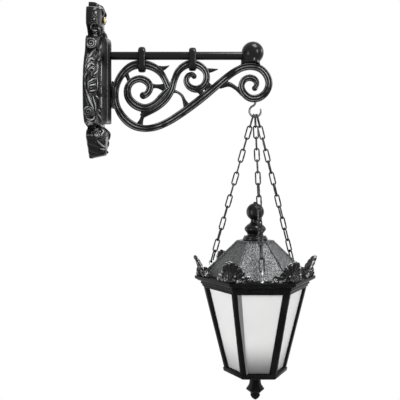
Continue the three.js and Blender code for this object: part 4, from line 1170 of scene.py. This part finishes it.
@dataclass
class Scrollwork:
    """The flat scroll casting under the bar: channelled bands, ties, thorns and rolled tips.

    A band's rows are X, height and width, and a tip's are X, height and radius. The sections are a
    quarter of a band's outline, as shares of its width and depth.
    """

    depth: float = 18.0
    long_scroll: Band = (
        (212, -22, 18.9), (204, -3, 17.3), (191, 19, 18.9), (170, 35, 21.6), (144, 42, 24),
        (115, 38, 22.7), (90, 19, 20), (74, -8, 18.4), (69, -40, 17.3), (74, -73, 18.9),
        (92, -103, 21.6), (117, -123, 21.6), (147, -131, 18.9), (178, -127, 19.4), (211, -113, 20),
        (243, -93, 21), (275, -70, 21.6), (307, -45, 21.6), (336, -21, 20.5), (364, 3, 20),
        (390, 22, 19.4), (415, 34, 18.9), (441, 36, 18.9), (463, 28, 18.9), (478, 10, 18.9),
        (483, -11, 19.4), (475, -33, 20), (456, -48, 20.5), (433, -49, 20), (415, -35, 18.9),
        (409, -16, 17.3), (416, 0, 17.3), (431, 6, 17.8), (446, 0, 16.7), (450, -12, 14),
        (444, -23, 13.5),
    )
    inner_scroll: Band = (
        (213, -27, 18.9), (197, -46, 24.3), (177, -65, 21.6), (150, -76, 22), (123, -68, 23.2),
        (104, -47, 21.6), (102, -22, 19.4), (114, -4, 18.4), (135, 3, 19.4), (153, -4, 20.5),
        (162, -18, 19.4), (157, -34, 17.8), (146, -43, 17.3),
    )
    second_scroll: Band = (
        (138, -99, 13.5), (157, -87, 17.8), (181, -74, 17.8), (204, -54, 18.4), (220, -28, 18.4),
        (228, 0, 17.8), (240, 25, 18.9), (259, 40, 20.5), (279, 43.5, 21.5), (298, 37, 19.4),
        (312, 22, 17.3), (315, 3, 18.4), (306, -16, 18.9), (288, -25, 19.4), (268, -18, 17.8),
        (260, -2, 16.2), (265, 11, 14.6), (275, 15, 13), (282, 11, 12.4),
    )
    ties: tuple[Band, ...] = (
        ((145, -89, 16), (140, -105, 10.5), (133, -124, 21)),
        ((96, 20, 16), (103, 5, 10.5), (110, -11, 16)),
        ((157, -17, 19), (180, -17, 11), (204, -21, 24)),
        ((219, -31, 11), (234, -32, 8), (248, -42, 8), (255, -57, 11), (264, -76, 24)),
        ((351, -12, 24), (376, -12, 13.5), (394, -22, 11), (413, -37, 16)),
        ((310, -5, 16), (324, -27, 27)),
        ((286, -22, 13.5), (310, -43, 13.5)),
        ((205, -8, 11), (224, -22, 16)),
    )
    thorns: tuple[Band, ...] = (
        ((178, 31, 19), (196, 31, 13.5), (215, 39, 1.6)),
        ((309, 24, 16), (328, 26, 11), (346, 29, 1.6)),
    )
    foot_pad: Band = ((58, -4, 11), (63, -40, 21.6), (60, -77, 13.5))
    tips: Band = ((144, -42, 10), (281, 10, 7.5), (445, -22, 8))
    face: float = 58.3
    hook_hole: float = 3.6
    channel: Outline = (
        (0.0, 0.5), (0.045, 0.485), (0.09, 0.43), (0.15, 0.345), (0.22, 0.345), (0.28, 0.42),
        (0.325, 0.475), (0.36, 0.48), (0.41, 0.435), (0.46, 0.34), (0.49, 0.22), (0.5, 0.08),
    )
    plain: Outline = (
        (0.0, 0.5), (0.12, 0.48), (0.24, 0.43), (0.36, 0.33), (0.45, 0.2), (0.5, 0.06),
    )

    def ring(self, quarter: Outline) -> Points:
        """The whole outline of a band's section from a quarter of it."""
        half = list(quarter) + [(n, -y) for n, y in reversed(quarter)]
        return np.array(half + [(-n, y) for n, y in reversed(half[1:-1])])

    def band(self, points: Band, depth: float, quarter: Outline) -> Form:
        """A smooth band along points of X, height and width."""
        line = curve_through(points, 2.0)
        ahead = unit(np.gradient(line[:, :2], axis=0))
        across = np.column_stack([-ahead[:, 1], ahead[:, 0]])
        outline = self.ring(quarter)
        spread = across[:, None, :] * (outline[:, 0][None, :, None] * line[:, 2][:, None, None])
        flat = line[:, None, :2] + spread
        y = np.broadcast_to(outline[:, 1] * depth, flat.shape[:2])
        return Form.skin(np.stack([flat[..., 0], y, flat[..., 1]], axis=-1))

    def build(self, finishes: Finishes) -> None:
        """Makes the casting."""
        scrolls = (self.long_scroll, self.inner_scroll, self.second_scroll)
        forms = [self.band(line, self.depth, self.channel) for line in scrolls]
        forms += [self.band(line, self.depth - 3.5, self.plain) for line in self.ties]
        forms += [self.band(line, 11.0, self.plain) for line in self.thorns]
        forms.append(self.band(self.foot_pad, self.depth + 2, self.plain))
        forms += [Form.ball((x, 0, z), (r, r * 0.92, r)) for x, z, r in self.tips]
        made = cast(total(forms).build("scroll_casting"), 0.85, 2)
        work(made, Form.block((0, -40, -140), (self.face, 40, 60)), Cut.TAKE, 50.0)
        for z in FOOT_SCREWS:
            drill(made, (50, 0, z), (74, 0, z), SCREW_HOLE, 20, 50.0)
        drill(made, (LANTERN_X, 0, -80), (LANTERN_X, 0, -44), self.hook_hole, 20, 50.0)
        mount(made, finishes.iron, Body.BRACKET, Slot.IRON, "scroll_bracket")


@dataclass
class Arm:
    """Spine bar, round bar, ball terminal and the two straps.

    The ball is its X, height and radius, the neck its X, radius and foot, and a strap its X, foot
    and top.
    """

    bar_height: float = 65.2
    bar_radius: float = 11.0
    bar_end: float = 425.0
    spine_top: float = 112.0
    spine_foot: float = -119.0
    spine_back: float = 32.3
    spine_front: float = 58.0
    spine_half: float = 14.0
    spine_bow: float = 9.5
    tenon_radius: float = 6.0
    tenon_length: float = 14.0
    screw_head: Pair = (8.2, 18.4)
    ball: Place = (439.0, 73.2, 30.0)
    neck: Place = (433.0, 26.0, 33.0)
    straps: tuple[tuple[str, Place], ...] = (
        ("collar_inner", (140.4, 20, 89.5)),
        ("collar_outer", (277, 24, 87.5)),
    )
    strap_width: float = 20.0
    strap_clear: float = 11.3
    strap_wall: float = 7.8
    strap_floor: float = 7.4

    def spine(self) -> Form:
        """The upright bar, its front corners rounded and its top rolled back."""
        top = self.spine_top
        foot, face = self.spine_foot, self.spine_front
        front_line = [(foot, 55.6), (foot + 1.2, 57.2), (foot + 3.2, face)]
        front_line += [(z, face) for z in range(-110, 96, 10)]
        roll = [(top - 16, face), (top - 11, 57.6), (top - 7, 56.4), (top - 4, 54.2)]
        roll += [(top - 1.8, 51), (top - 0.5, 48), (top, 45.5)]
        rings = []
        for z, front in front_line + roll:
            half = self.spine_half - (0.8 if z in (foot, top) else 0.0)
            side = front - self.spine_bow
            plan = [(self.spine_back, -half), (side, -half), (front, -4.5), (front, 4.5), (side, half)]
            plan.append((self.spine_back, half))
            rings.append(level(rounded(plan, 1.8, 3, loop=True), z))
        return Form.skin(np.array(rings))

    def strap(self, x: float, low: float, high: float) -> Form:
        """A strap loop round the bar and the scroll's band, crowned on its outer face."""
        clear, floor = self.strap_clear, low + self.strap_floor
        outer = clear + self.strap_wall
        count = 18
        upper = arc((0, high - outer), outer, 0, 180, count)
        lower = arc((0, low + outer), outer, 180, 360, count)
        outside = np.array(upper + lower)
        crown = arc((0, self.bar_height), clear, 0, 180, count)
        well = arc((0, floor + clear * 0.62), clear, 180, 360, count)
        inside = np.array(crown + [(y, max(z, floor)) for y, z in well])
        half = self.strap_width / 2
        edge = [(half - 1, 0), (half, 0.12), (half, 0.5), (half - 1.2, 0.74), (half - 3.4, 0.9)]
        edge.append((3.2, 0.98))
        section = [(-s, h) for s, h in edge] + edge[::-1]
        rings = []
        for low_point, high_point in zip(inside, outside):
            rings.append([(x + s, *(low_point + (high_point - low_point) * h)) for s, h in section])
        return Form.skin(np.array(rings), loop=True)

    def build(self, finishes: Finishes, scroll: Scrollwork) -> None:
        """Makes the arm's pieces."""
        height, radius = self.bar_height, self.bar_radius
        spine = self.spine().build("spine_upright")
        drill(spine, (43, 0, height), (70, 0, height), self.tenon_radius + 0.4, 32)
        for z in SPINE_SCREWS:
            drill(spine, (20, 0, z), (47, 0, z), SCREW_HOLE, 20)
        for z in FOOT_SCREWS:
            sink(spine, (20, 0, z), self.screw_head, (0, SCREW_REACH))
        mount(break_edges(spine, 0.7, 40.0), finishes.iron, Body.BRACKET, Slot.IRON, "spine_bar")
        shoulder = self.spine_front + 0.3
        length = self.bar_end - shoulder
        tenon = [(0, -self.tenon_length), (self.tenon_radius, -self.tenon_length), (self.tenon_radius, 0)]
        line = rounded(tenon + [(radius, 0), (radius, length), (0, length)], 0.8)
        bar = Form.turned(line, 56, (shoulder, 0, height), ALONG_X).build("bar_round")
        mount(bar, finishes.turned, Body.BRACKET, Slot.IRON, "bracket_bar")
        x, z, r = self.ball
        neck_x, neck_r, foot = self.neck
        profile = [(0, foot - 12), (neck_r + 2.4, foot - 12), (neck_r + 2.2, foot + 3)]
        profile += [(neck_r + 0.6, foot + 9), (neck_r - 0.6, foot + 15), (neck_r - 0.2, foot + 22)]
        profile += [(neck_r - 1.2, z), (0, z)]
        neck = Form.turned(rounded(profile, 2.0), 56, (neck_x, 0, 0))
        forms = Form.ball((x, 0, z), (r, r, r), 64) + neck
        ball = cast(forms.build("ball_terminal"), 1.1, 6)
        saddle = scroll.band(scroll.long_scroll[18:27], 90.0, ((0.0, 0.5), (0.49, 0.5), (0.49, 0.1)))
        work(ball, saddle, Cut.TAKE, 50.0)
        work(ball, Form.block((360, -60, -20), (500, 60, 34)), Cut.TAKE, 50.0)
        drill(ball, (380, 0, height), (self.bar_end + 0.6, 0, height), radius + 0.4, 48, 50.0)
        mount(ball, finishes.turned, Body.BRACKET, Slot.IRON, "bar_ball")
        for name, size in self.straps:
            loop = self.strap(*size).build(name + "_strap", 50.0)
            mount(loop, finishes.turned, Body.BRACKET, Slot.IRON, name)


@dataclass
class HangingGear:
    """The hook, three chains of long links and the eye bolts they end in."""

    hook_height: float = -84.2
    hook_radius: float = 15.5
    hook_wire: float = 3.05
    hook_play: float = 0.2
    hang: float = 0.7
    links: int = 13
    twist_growth: float = 1.8
    wire: float = 2.0
    inner_width: float = 8.0
    spread: float = 6.5
    reach: float = 133.0
    eye_height: float = -503.4
    eye_radius: float = 7.5
    eye_wire: float = 2.25
    stem_foot: float = -533.0
    thread_pitch: float = 0.9
    washer: Outline = (
        (0, -526.7), (4.7, -526.7), (4.9, -525.6), (4.6, -524.6), (3.6, -524.2), (3.4, -522.6),
        (0, -522.6),
    )
    hook_ends: Pair = (108.0, 386.0)
    azimuths: tuple[tuple[str, float], ...] = (("front", -90.0), ("left", 150.0), ("right", 30.0))

    def hook(self) -> Form:
        """The hook's wire, with a blunt tip."""
        shank = [(0, -45), (0, -54), (0, -63)]
        line = shank + arc((0, self.hook_height), self.hook_radius, *self.hook_ends, 14)
        flat = curve_through(line, 0.9)
        path = np.column_stack([flat[:, 0] + LANTERN_X, np.zeros(len(flat)), flat[:, 1]])
        run = np.concatenate([[0.0], np.cumsum(np.linalg.norm(np.diff(path, axis=0), axis=1))])
        left = run[-1] - run
        tip = np.sqrt(np.clip(1 - (1 - np.clip(left / self.hook_wire, 0.02, 1.0)) ** 2, 0.0, 1.0))
        thick = (self.hook_wire - self.hook_play) * (0.82 + 0.18 * ease(0.0, 16.0, left)) * tip
        return Form.wire(path, thick, (0, 1, 0), 16)

    def ends(self, azimuth: float) -> tuple[Points, Points, Points, Points]:
        """Where a chain starts, where it ends, its eye's middle and the way out to it."""
        a = math.radians(azimuth)
        out = np.array([math.cos(a), math.sin(a), 0.0])
        slot = round(math.copysign(1.0, out[0])) * self.spread if abs(out[0]) > 0.1 else 0.0
        tilt = math.asin(slot / self.hook_radius)
        inner = self.hook_radius - self.hook_wire
        start_x = LANTERN_X + inner * math.sin(tilt)
        top = np.array([start_x, 0.0, self.hook_height - inner * math.cos(tilt)])
        eye = np.array([LANTERN_X, 0.0, self.eye_height]) + out * self.reach
        along = unit(eye - top)
        return top, eye + along * (self.eye_wire - self.eye_radius), eye, out

    def link(self, centre: Points, along: Points, across: Points, inner_length: float) -> Form:
        """One long link with round ends and a small weld on one side."""
        side = self.inner_width / 2 + self.wire
        straight = inner_length / 2 + self.wire - side
        turns = np.linspace(-math.pi / 2, math.pi / 2, 11)
        head = [(straight + side * math.cos(a), side * math.sin(a)) for a in turns]
        weld = [(u, side) for u in np.linspace(straight, -straight, 8)[1:-1]]
        tail = [(-u, -v) for u, v in head]
        back = [(u, -side) for u in np.linspace(-straight, straight, 4)[1:-1]]
        outline = np.array(head + weld + tail + back)
        path = centre + outline[:, :1] * along + outline[:, 1:] * across
        thick = np.full(len(path), self.wire)
        thick[len(head) + 2 : len(head) + 4] *= 1.14
        return Form.wire(path, thick, np.cross(along, across), 12, loop=True)

    def chain(self, azimuth: float) -> Form:
        """All the links of one taut chain, each a quarter turn on from the last."""
        top, bottom, _, out = self.ends(azimuth)
        along = unit(bottom - top)
        top = top - along * self.hang
        bottom = bottom + along * 0.1
        pitch = float(np.linalg.norm(bottom - top)) / self.links
        first = unit(np.array([0.0, 1.0, 0.0]) - along * along[1])
        tangent = np.array([-out[1], out[0], 0.0])
        tangent = unit(tangent - along * float(along @ tangent))
        twist = math.atan2(float(np.cross(first, tangent) @ along), float(first @ tangent))
        if twist > math.pi / 2 + 0.01:
            twist -= math.pi
        if twist < -math.pi / 2 - 0.01:
            twist += math.pi
        second = np.cross(along, first)
        links = []
        for i in range(self.links):
            angle = twist * (i / (self.links - 1)) ** self.twist_growth + (i % 2) * math.pi / 2
            across = first * math.cos(angle) + second * math.sin(angle)
            links.append(self.link(top + along * pitch * (i + 0.5), along, across, pitch))
        return total(links)

    def eye_bolt(self, azimuth: float) -> Form:
        """A ring on a threaded stem with a washer."""
        _, _, eye, out = self.ends(azimuth)
        angles = np.linspace(0, 2 * math.pi, 37)[:-1]
        path = eye + np.cos(angles)[:, None] * out * self.eye_radius
        path = path + np.sin(angles)[:, None] * np.array([0.0, 0.0, self.eye_radius])
        ring = Form.wire(path, self.eye_wire, (-out[1], out[0], 0.0), 14, loop=True)
        stem = [(0, self.stem_foot), (2.0, self.stem_foot)]
        for z in np.arange(self.stem_foot, -514.0, self.thread_pitch):
            stem += [(2.0, z + 0.1), (2.3, z + self.thread_pitch / 2)]
        stem += [(2.0, -513.6), (2.2, -512.0), (2.2, -509.0), (0, -509.0)]
        place = (eye[0], eye[1], 0.0)
        washer = Form.turned(rounded(self.washer, 0.3), 24, place)
        return ring + Form.turned(stem, 18, place) + washer

    def build(self, finishes: Finishes) -> None:
        """Makes the hook, the chains and the eye bolts."""
        mount(self.hook().build("hook_wire"), finishes.hook, Body.HOOK, Slot.HOOK, "hook")
        for name, azimuth in self.azimuths:
            chain = self.chain(azimuth).build(name + "_chain_links", 60.0)
            mount(chain, finishes.chain, Body.LANTERN, Slot.CHAIN, "chain_" + name)
            eye = self.eye_bolt(azimuth).build(name + "_eye", 40.0)
            mount(eye, finishes.zinc, Body.LANTERN, Slot.ZINC, "eye_bolt_" + name)


@dataclass
class Palmette:
    """A cast shell on a corner of the cornice: a fan of fingers between leafy curls.

    Its forms stand at azimuth 0, X out from the foot's middle, Y along the wall and Z up. A curl is
    its distance from the corner and its radius. A lobe is its distance from the corner, height,
    inset and size.
    """

    radius: float = 151.0
    foot: float = -526.7
    height: float = 55.5
    corner: float = 12.0
    reach_out: float = 12.5
    fingers: int = 9
    half_angle: float = 88.0
    finger_rise: float = 3.6
    tip_rise: float = 2.4
    tip_swell: float = 4.5
    fan_centre: float = 7.0
    side_drop: float = 22.5
    crown_lift: float = 12.5
    crown_spread: float = 42.0
    curls: Outline = ((26.0, 8.6), (47.0, 9.2))
    lobes: tuple[tuple[float, float, float, float], ...] = (
        (11, 8, 4.5, 5.6), (14, 17, 6.5, 4.2), (36.5, 5, 5, 5.2), (36, 13.5, 6, 3.6), (57, 4, 6, 4.4),
        (19, 5, 3.5, 4.6),
    )
    heart: tuple[tuple[Place, Place], ...] = (
        ((3.4, 0, 14.0), (4.4, 4.8, 9.0)),
        ((3.0, 0, 5.0), (6.0, 9.0, 5.4)),
        ((-3.0, 0, 6.0), (5.6, 12.0, 6.4)),
    )

    def lean(self, s: Points, h: Points) -> Points:
        """How far out of the foot's middle the shell stands at a place across and up."""
        share = np.clip(h / self.height, 0.0, 1.0)
        back = (0.52 - 0.32 * share) * (np.sqrt(s * s + 9.0) - 3.0)
        return self.reach_out * share**1.4 - back

    def beside(self, along: float, inset: float) -> Pair:
        """A place on the cornice at a distance from its corner and in from its edge."""
        return self.corner - along / 2 - inset * FLAT, along * FLAT - inset / 2

    def fan(self) -> Form:
        """The shell's fingers, each swelling to a round tip."""
        rows, per_finger = 30, 12
        angle = np.linspace(-self.half_angle, self.half_angle, self.fingers * per_finger + 1)
        offset = np.abs(np.linspace(0, self.fingers, len(angle)) % 1.0 - 0.5) * 2
        swell = np.sqrt(np.clip(1 - offset**2, 0.0, 1.0))
        crown = self.crown_lift * np.exp(-((angle / self.crown_spread) ** 2))
        reach = self.height - self.side_drop + crown + self.tip_swell * (swell - 0.5)
        share = np.linspace(0.06, 1.0, rows)[:, None]
        turn = np.radians(angle)[None, :]
        s = share * reach * np.sin(turn)
        h = self.fan_centre + share * reach * np.cos(turn)
        tip = np.exp(-(((share - 0.84) / 0.12) ** 2)) * self.tip_rise
        rise = (self.finger_rise * share**0.5 + tip) * swell[None, :] * (1 - ease(0.9, 1.02, share) * 0.8)
        x = self.lean(s, h)
        front = np.stack([x - 0.4 + rise, s, h], axis=-1)
        back = np.stack([x - 3.0 - (1 - share) * np.ones_like(s), s, h - 0.4], axis=-1)
        return Form.slab(front, back)

    def curl(self, along: float, radius: float) -> list[Form]:
        """A rolled leaf end that stands on the cornice, its spiral facing out."""
        outward = np.array([FLAT, 0.5, 0.0])
        edgeways = np.array([-0.5, FLAT, 0.0])
        middle = np.array([*self.beside(along, 4.5), radius])
        inner = np.array([*self.beside(along, 12.0), radius])
        drum = Form.rod(tuple(inner), tuple(middle - 1.2 * outward), radius - 1.2, 24, 1.5)
        turns = np.linspace(0.0, 1.45, 44)
        radii = (radius - 2.2) * (1 - turns / 1.9)
        angles = 2 * math.pi * turns + 0.3 * math.pi
        path = middle + (radii * np.cos(angles))[:, None] * edgeways
        path = path + (radii * np.sin(angles))[:, None] * np.array([0.0, 0.0, 1.0])
        rolled = Form.wire(path, np.linspace(2.1, 1.5, 44), outward, 10)
        return [drum, rolled, Form.ball(tuple(middle), (2.6, 2.6, 2.4), 14)]

    def shape(self) -> Form:
        """Every form of one shell."""
        sides = [form for place in self.curls for form in self.curl(*place)]
        for along, h, inset, size in self.lobes:
            x, y = self.beside(along, inset)
            sides.append(Form.ball((x, y, h), (size * 0.9, size, size), 16))
        forms = [self.fan()] + sides + [form.mirrored() for form in sides]
        whole = total(forms + [Form.ball(*size, 24) for size in self.heart])
        lifted = np.column_stack([whole.points[:, :2], np.maximum(whole.points[:, 2], 0.0)])
        return Form(lifted, whole.faces).moved(LANTERN_X + self.radius, 0, self.foot)

    def build(self, finishes: Finishes) -> None:
        """Makes the six shells from one casting."""
        pattern = cast_form(self.shape(), 0.8, 1)
        for k in range(SIX):
            made = pattern.round_lantern(k).build(f"shell_{k + 1}", 180.0)
            mount(made, finishes.casting, Body.LANTERN, Slot.PAINT, f"palmette_{k + 1}")


@dataclass
class LanternBody:
    """Cornice, tapered cage and the drop under it.

    Profiles are corner radius and height. The legs are how wide the left and right posts of a window
    are at its outside and at its inside.
    """

    cornice_profile: Outline = (
        (120, -527), (161.2, -527), (162.6, -527.6), (163, -529), (163, -533.2), (162.4, -535),
        (160.6, -536.2), (157.6, -536.8), (156.4, -538.2), (153.4, -540.2), (149.4, -541.4),
        (147.4, -542), (146.2, -543.4), (146.6, -545.4), (147.4, -546.6), (147.0, -548.2),
        (145.2, -549.2), (143.6, -550), (142.8, -552), (142.2, -555.8), (136, -555.8),
        (137.5, -546), (143, -537.5), (120, -535),
    )
    frame_top: Pair = (139.5, -556.3)
    frame_foot: Pair = (84.5, -774.0)
    frame_wall: float = 7.0
    window_top: float = -559.0
    legs_top: tuple[Pair, Pair] = ((10.0, 20.5), (9.5, 15.0))
    legs_foot: tuple[Pair, Pair] = ((10.5, 15.5), (10.0, 15.0))
    drop_stem: Outline = (
        (0, -781), (19, -781), (19.6, -783), (19, -785.2), (16.6, -787.4), (15.4, -791), (14.6, -800),
        (15, -811), (16.2, -814), (15.6, -816), (17.5, -822), (24.2, -831.4), (25, -833.4),
        (23.4, -835.4), (14.6, -842), (13.4, -844.6), (0, -844.6),
    )
    drop_bud: Outline = (
        (0, -841), (10.6, -841), (11.4, -843), (10.8, -844.8), (12.4, -846.4), (13.2, -849),
        (12.2, -852.4), (9.2, -856.8), (5.4, -860), (3.2, -861.4), (1.6, -862.4), (0, -862.6),
    )
    stud_radius: float = 4.0
    splay_area: float = 200.0

    def radius_at(self, z: float) -> float:
        """The cage's corner radius at a height."""
        (top_r, top_z), (foot_r, foot_z) = self.frame_top, self.frame_foot
        return foot_r + (z - foot_z) * (top_r - foot_r) / (top_z - foot_z)

    def window(self, k: int) -> Form:
        """The opening in one face, splayed from the wall's outside to its inside."""
        (top_r, top_z), (foot_r, foot_z) = self.frame_top, self.frame_foot
        slope = math.atan2((top_r - foot_r) * FLAT, top_z - foot_z)
        out = np.array([0.0, -math.cos(slope), -math.sin(slope)])
        wall = self.frame_wall * FLAT
        rings = []
        for depth in (-3.0, wall + 3.0):
            share = depth / wall
            ring = []
            for z, left, right in ((self.window_top, *self.legs_top), (foot_z + 1, *self.legs_foot)):
                r = self.radius_at(z)
                near = -r / 2 + left[0] + (left[1] - left[0]) * share
                far = r / 2 - right[0] - (right[1] - right[0]) * share
                pair = [(LANTERN_X + far, -r * FLAT, z), (LANTERN_X + near, -r * FLAT, z)]
                ring += pair if z == self.window_top else pair[::-1]
            rings.append(np.array(ring) - out * depth)
        return Form.skin(np.array(rings)).round_lantern(k)

    def cage(self) -> Piece:
        """The cage: six angle posts, the top rail and the foot ring."""
        (top_r, top_z), (foot_r, foot_z) = self.frame_top, self.frame_foot
        inner = foot_r - self.frame_wall
        profile = [(135, -537.8), (135, top_z), (top_r, top_z), (foot_r, foot_z), (86.8, -775.2)]
        profile += [(87.4, -777.4), (86.2, -779.0), (86.4, -781.4), (84.4, -784.6), (81.6, -786)]
        profile += [(64, -786), (64, -781), (inner, -781), (inner, foot_z)]
        profile += [(top_r - self.frame_wall, top_z), (123, -552), (123, -537.8)]
        made = Form.six_sided(profile).build("cage_posts")
        break_edges(made, 0.8, 25.0)
        for k in range(SIX):
            work(made, self.window(k), Cut.TAKE, 24.0)
        return made

    def paint_light_on_splay(self, cage: Piece) -> None:
        """Gives the front window's left splay a paler paint, which is painted light on the lit splay."""
        for face in cage.data.polygons:
            across, out, _ = face.normal
            wide = face.area > self.splay_area * MM * MM
            face.material_index = int(0.4 < across < 0.8 and -out > 0.55 and wide)

    def drop(self) -> Piece:
        """The six-sided drop with its round bud and stud."""
        made = Form.six_sided(self.drop_stem, loop=False).build("drop_turned")
        break_edges(made, 0.7, 25.0)
        work(made, Form.turned(rounded(self.drop_bud, 1.0), 48, AXIS), Cut.ADD)
        stud = Form.rod((LANTERN_X, 0, -790), (LANTERN_X, 0, -768), self.stud_radius, 24)
        return work(made, stud, Cut.ADD, 34.0)

    def build(self, finishes: Finishes) -> None:
        """Makes the lantern's castings."""
        cornice = Form.six_sided(rounded(self.cornice_profile, 0.7, 2, loop=True))
        mount(cornice.build("cornice_moulding"), finishes.sheet, Body.LANTERN, Slot.PAINT, "cornice")
        cage = mount(self.cage(), finishes.sheet, Body.LANTERN, Slot.PAINT, "body_frame")
        cage.data.materials.append(finishes.reveal)
        self.paint_light_on_splay(cage)
        mount(self.drop(), finishes.sheet, Body.LANTERN, Slot.PAINT, "drop_finial")


@dataclass
class Roof:
    """The six-sided hammered roof with hip ribs and beads, and the finial on it.

    Profiles are radius and height, and the finial's ball is its middle's height and its radius.
    """

    foot: Pair = (139.6, -524.0)
    top: Pair = (48.0, -432.3)
    eave: float = -526.7
    wall: float = 4.9
    rod_hole: float = 7.0
    hip_radius: float = 3.3
    beads: int = 9
    bead: Place = (2.3, 2.2, 2.2)
    finial_plinth: Outline = (
        (5.4, -432), (32.4, -432), (33.2, -431.2), (33.2, -426.4), (32.2, -425.2), (30.6, -424.6),
        (30.6, -421.2), (29.4, -420), (22.6, -419.2),
    )
    finial_cup: Outline = (
        (20.9, -417), (21.4, -414.6), (24.6, -410.2), (27.8, -406), (28.9, -401.8), (27.6, -397.8),
        (23.2, -392.6), (17.6, -388.2), (13.8, -385.2), (12.4, -382.6), (12.2, -379.4),
    )
    finial_ball: Pair = (-355.9, 23.8)

    def sheets(self) -> Form:
        """Six sheets with a lip round the top and a turned-down eave."""
        (foot_r, foot_z), (top_r, top_z) = self.foot, self.top
        lip, under = top_r + 1.8, top_z - 3.2
        profile = [(foot_r, self.eave), (foot_r, foot_z), (top_r + 1.0, top_z - 2.6), (lip, top_z - 1.8)]
        profile += [(lip, top_z), (self.rod_hole, top_z), (self.rod_hole, under), (top_r - 1.9, under)]
        profile += [(foot_r - self.wall, foot_z), (foot_r - self.wall, self.eave)]
        return Form.six_sided(profile)

    def hip(self) -> Form:
        """A rounded rib down one corner."""
        (foot_r, foot_z), (top_r, top_z) = self.foot, self.top
        start = np.array([LANTERN_X + foot_r - 1.4, 0.0, foot_z + 2.2])
        end = np.array([LANTERN_X + top_r - 0.6, 0.0, top_z - 1.6])
        path = start + (end - start) * np.linspace(0, 1, 12)[:, None]
        thick = self.hip_radius - 0.5 * np.linspace(0, 1, 12)
        return Form.wire(path, thick, (0, 1, 0), 18)

    def bead_row(self) -> list[Form]:
        """Beads along the top of one face."""
        top_r, top_z = self.top
        flat = (top_r + 3.2) * FLAT
        places = np.linspace(-0.5, 0.5, self.beads + 2)[1:-1] * top_r
        z = top_z - 4.4
        return [Form.ball((LANTERN_X + y, -flat, z), self.bead, 12) for y in places]

    def finial(self) -> Form:
        """The turned ball on its cup and stepped plinth."""
        height, radius = self.finial_ball
        profile = list(self.finial_plinth)
        profile += [tuple(row) for row in curve_through(self.finial_cup, 1.2)]
        profile += arc((0, height), radius, -60, 84, 34)
        profile += [(2.8, -332.4), (2.8, -394), (5.4, -394)]
        return Form.turned(rounded(profile, 0.6, 2, loop=True), 80, AXIS, loop=True)

    def build(self, finishes: Finishes) -> None:
        """Makes the roof, its ribs and the finial."""
        forms = [self.hip().round_lantern(k) for k in range(SIX)]
        for k in range(SIX):
            forms += [bead.round_lantern(k) for bead in self.bead_row()]
        made = self.sheets().build("roof_sheets")
        for form in forms:
            work(made, form, Cut.ADD)
        below = Form.block((LANTERN_X - 200, -200, -560), (LANTERN_X + 200, 200, self.eave))
        work(made, below, Cut.TAKE, 28.0)
        mount(made, finishes.hammered, Body.ROOF, Slot.HAMMERED, "roof")
        finial = self.finial().build("finial_ball", 50.0)
        mount(finial, finishes.turned, Body.FINIAL, Slot.PAINT, "finial")


@dataclass
class CarriedOver:
    """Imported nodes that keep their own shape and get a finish."""

    def build(self, frame: dict, finishes: Finishes) -> None:
        """Dresses each remaining node."""
        zinc, brass, sheet = finishes.zinc, finishes.brass, finishes.sheet
        by_name = {
            "spine_screw": zinc, "foot_screw": zinc, "frame_screw": zinc, "base_screw": zinc,
            "bridge_screw": zinc, "glass_retainer": zinc, "lamp_rod": zinc, "lamp_bridge": zinc,
            "drop_nut": zinc, "rod_nut": brass, "bulb_cap": brass, "lampholder": finishes.holder,
            "bulb_envelope": finishes.bulb, "glass_pane_1": finishes.front_opal_painted_shade,
            "glass_pane": finishes.opal, "base_plate": sheet, "cord_gland": sheet,
        }
        for name, node in frame["nodes"].items():
            if node.hide_render:
                continue
            finish = next((made for start, made in by_name.items() if name.startswith(start)), sheet)
            for slot in node.material_slots:
                slot.material = finish
            logging.info("%s keeps its packed shape", name)


def main() -> None:
    """Builds the lantern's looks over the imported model."""
    logging.basicConfig(level=logging.INFO, format="%(message)s")
    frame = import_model()
    Studio().build()
    finishes = Finishes()
    WallPlate().build(finishes)
    scroll = Scrollwork()
    scroll.build(finishes)
    Arm().build(finishes, scroll)
    HangingGear().build(finishes)
    LanternBody().build(finishes)
    Palmette().build(finishes)
    Roof().build(finishes)
    CarriedOver().build(frame, finishes)


if __name__ == "__main__":
    main()
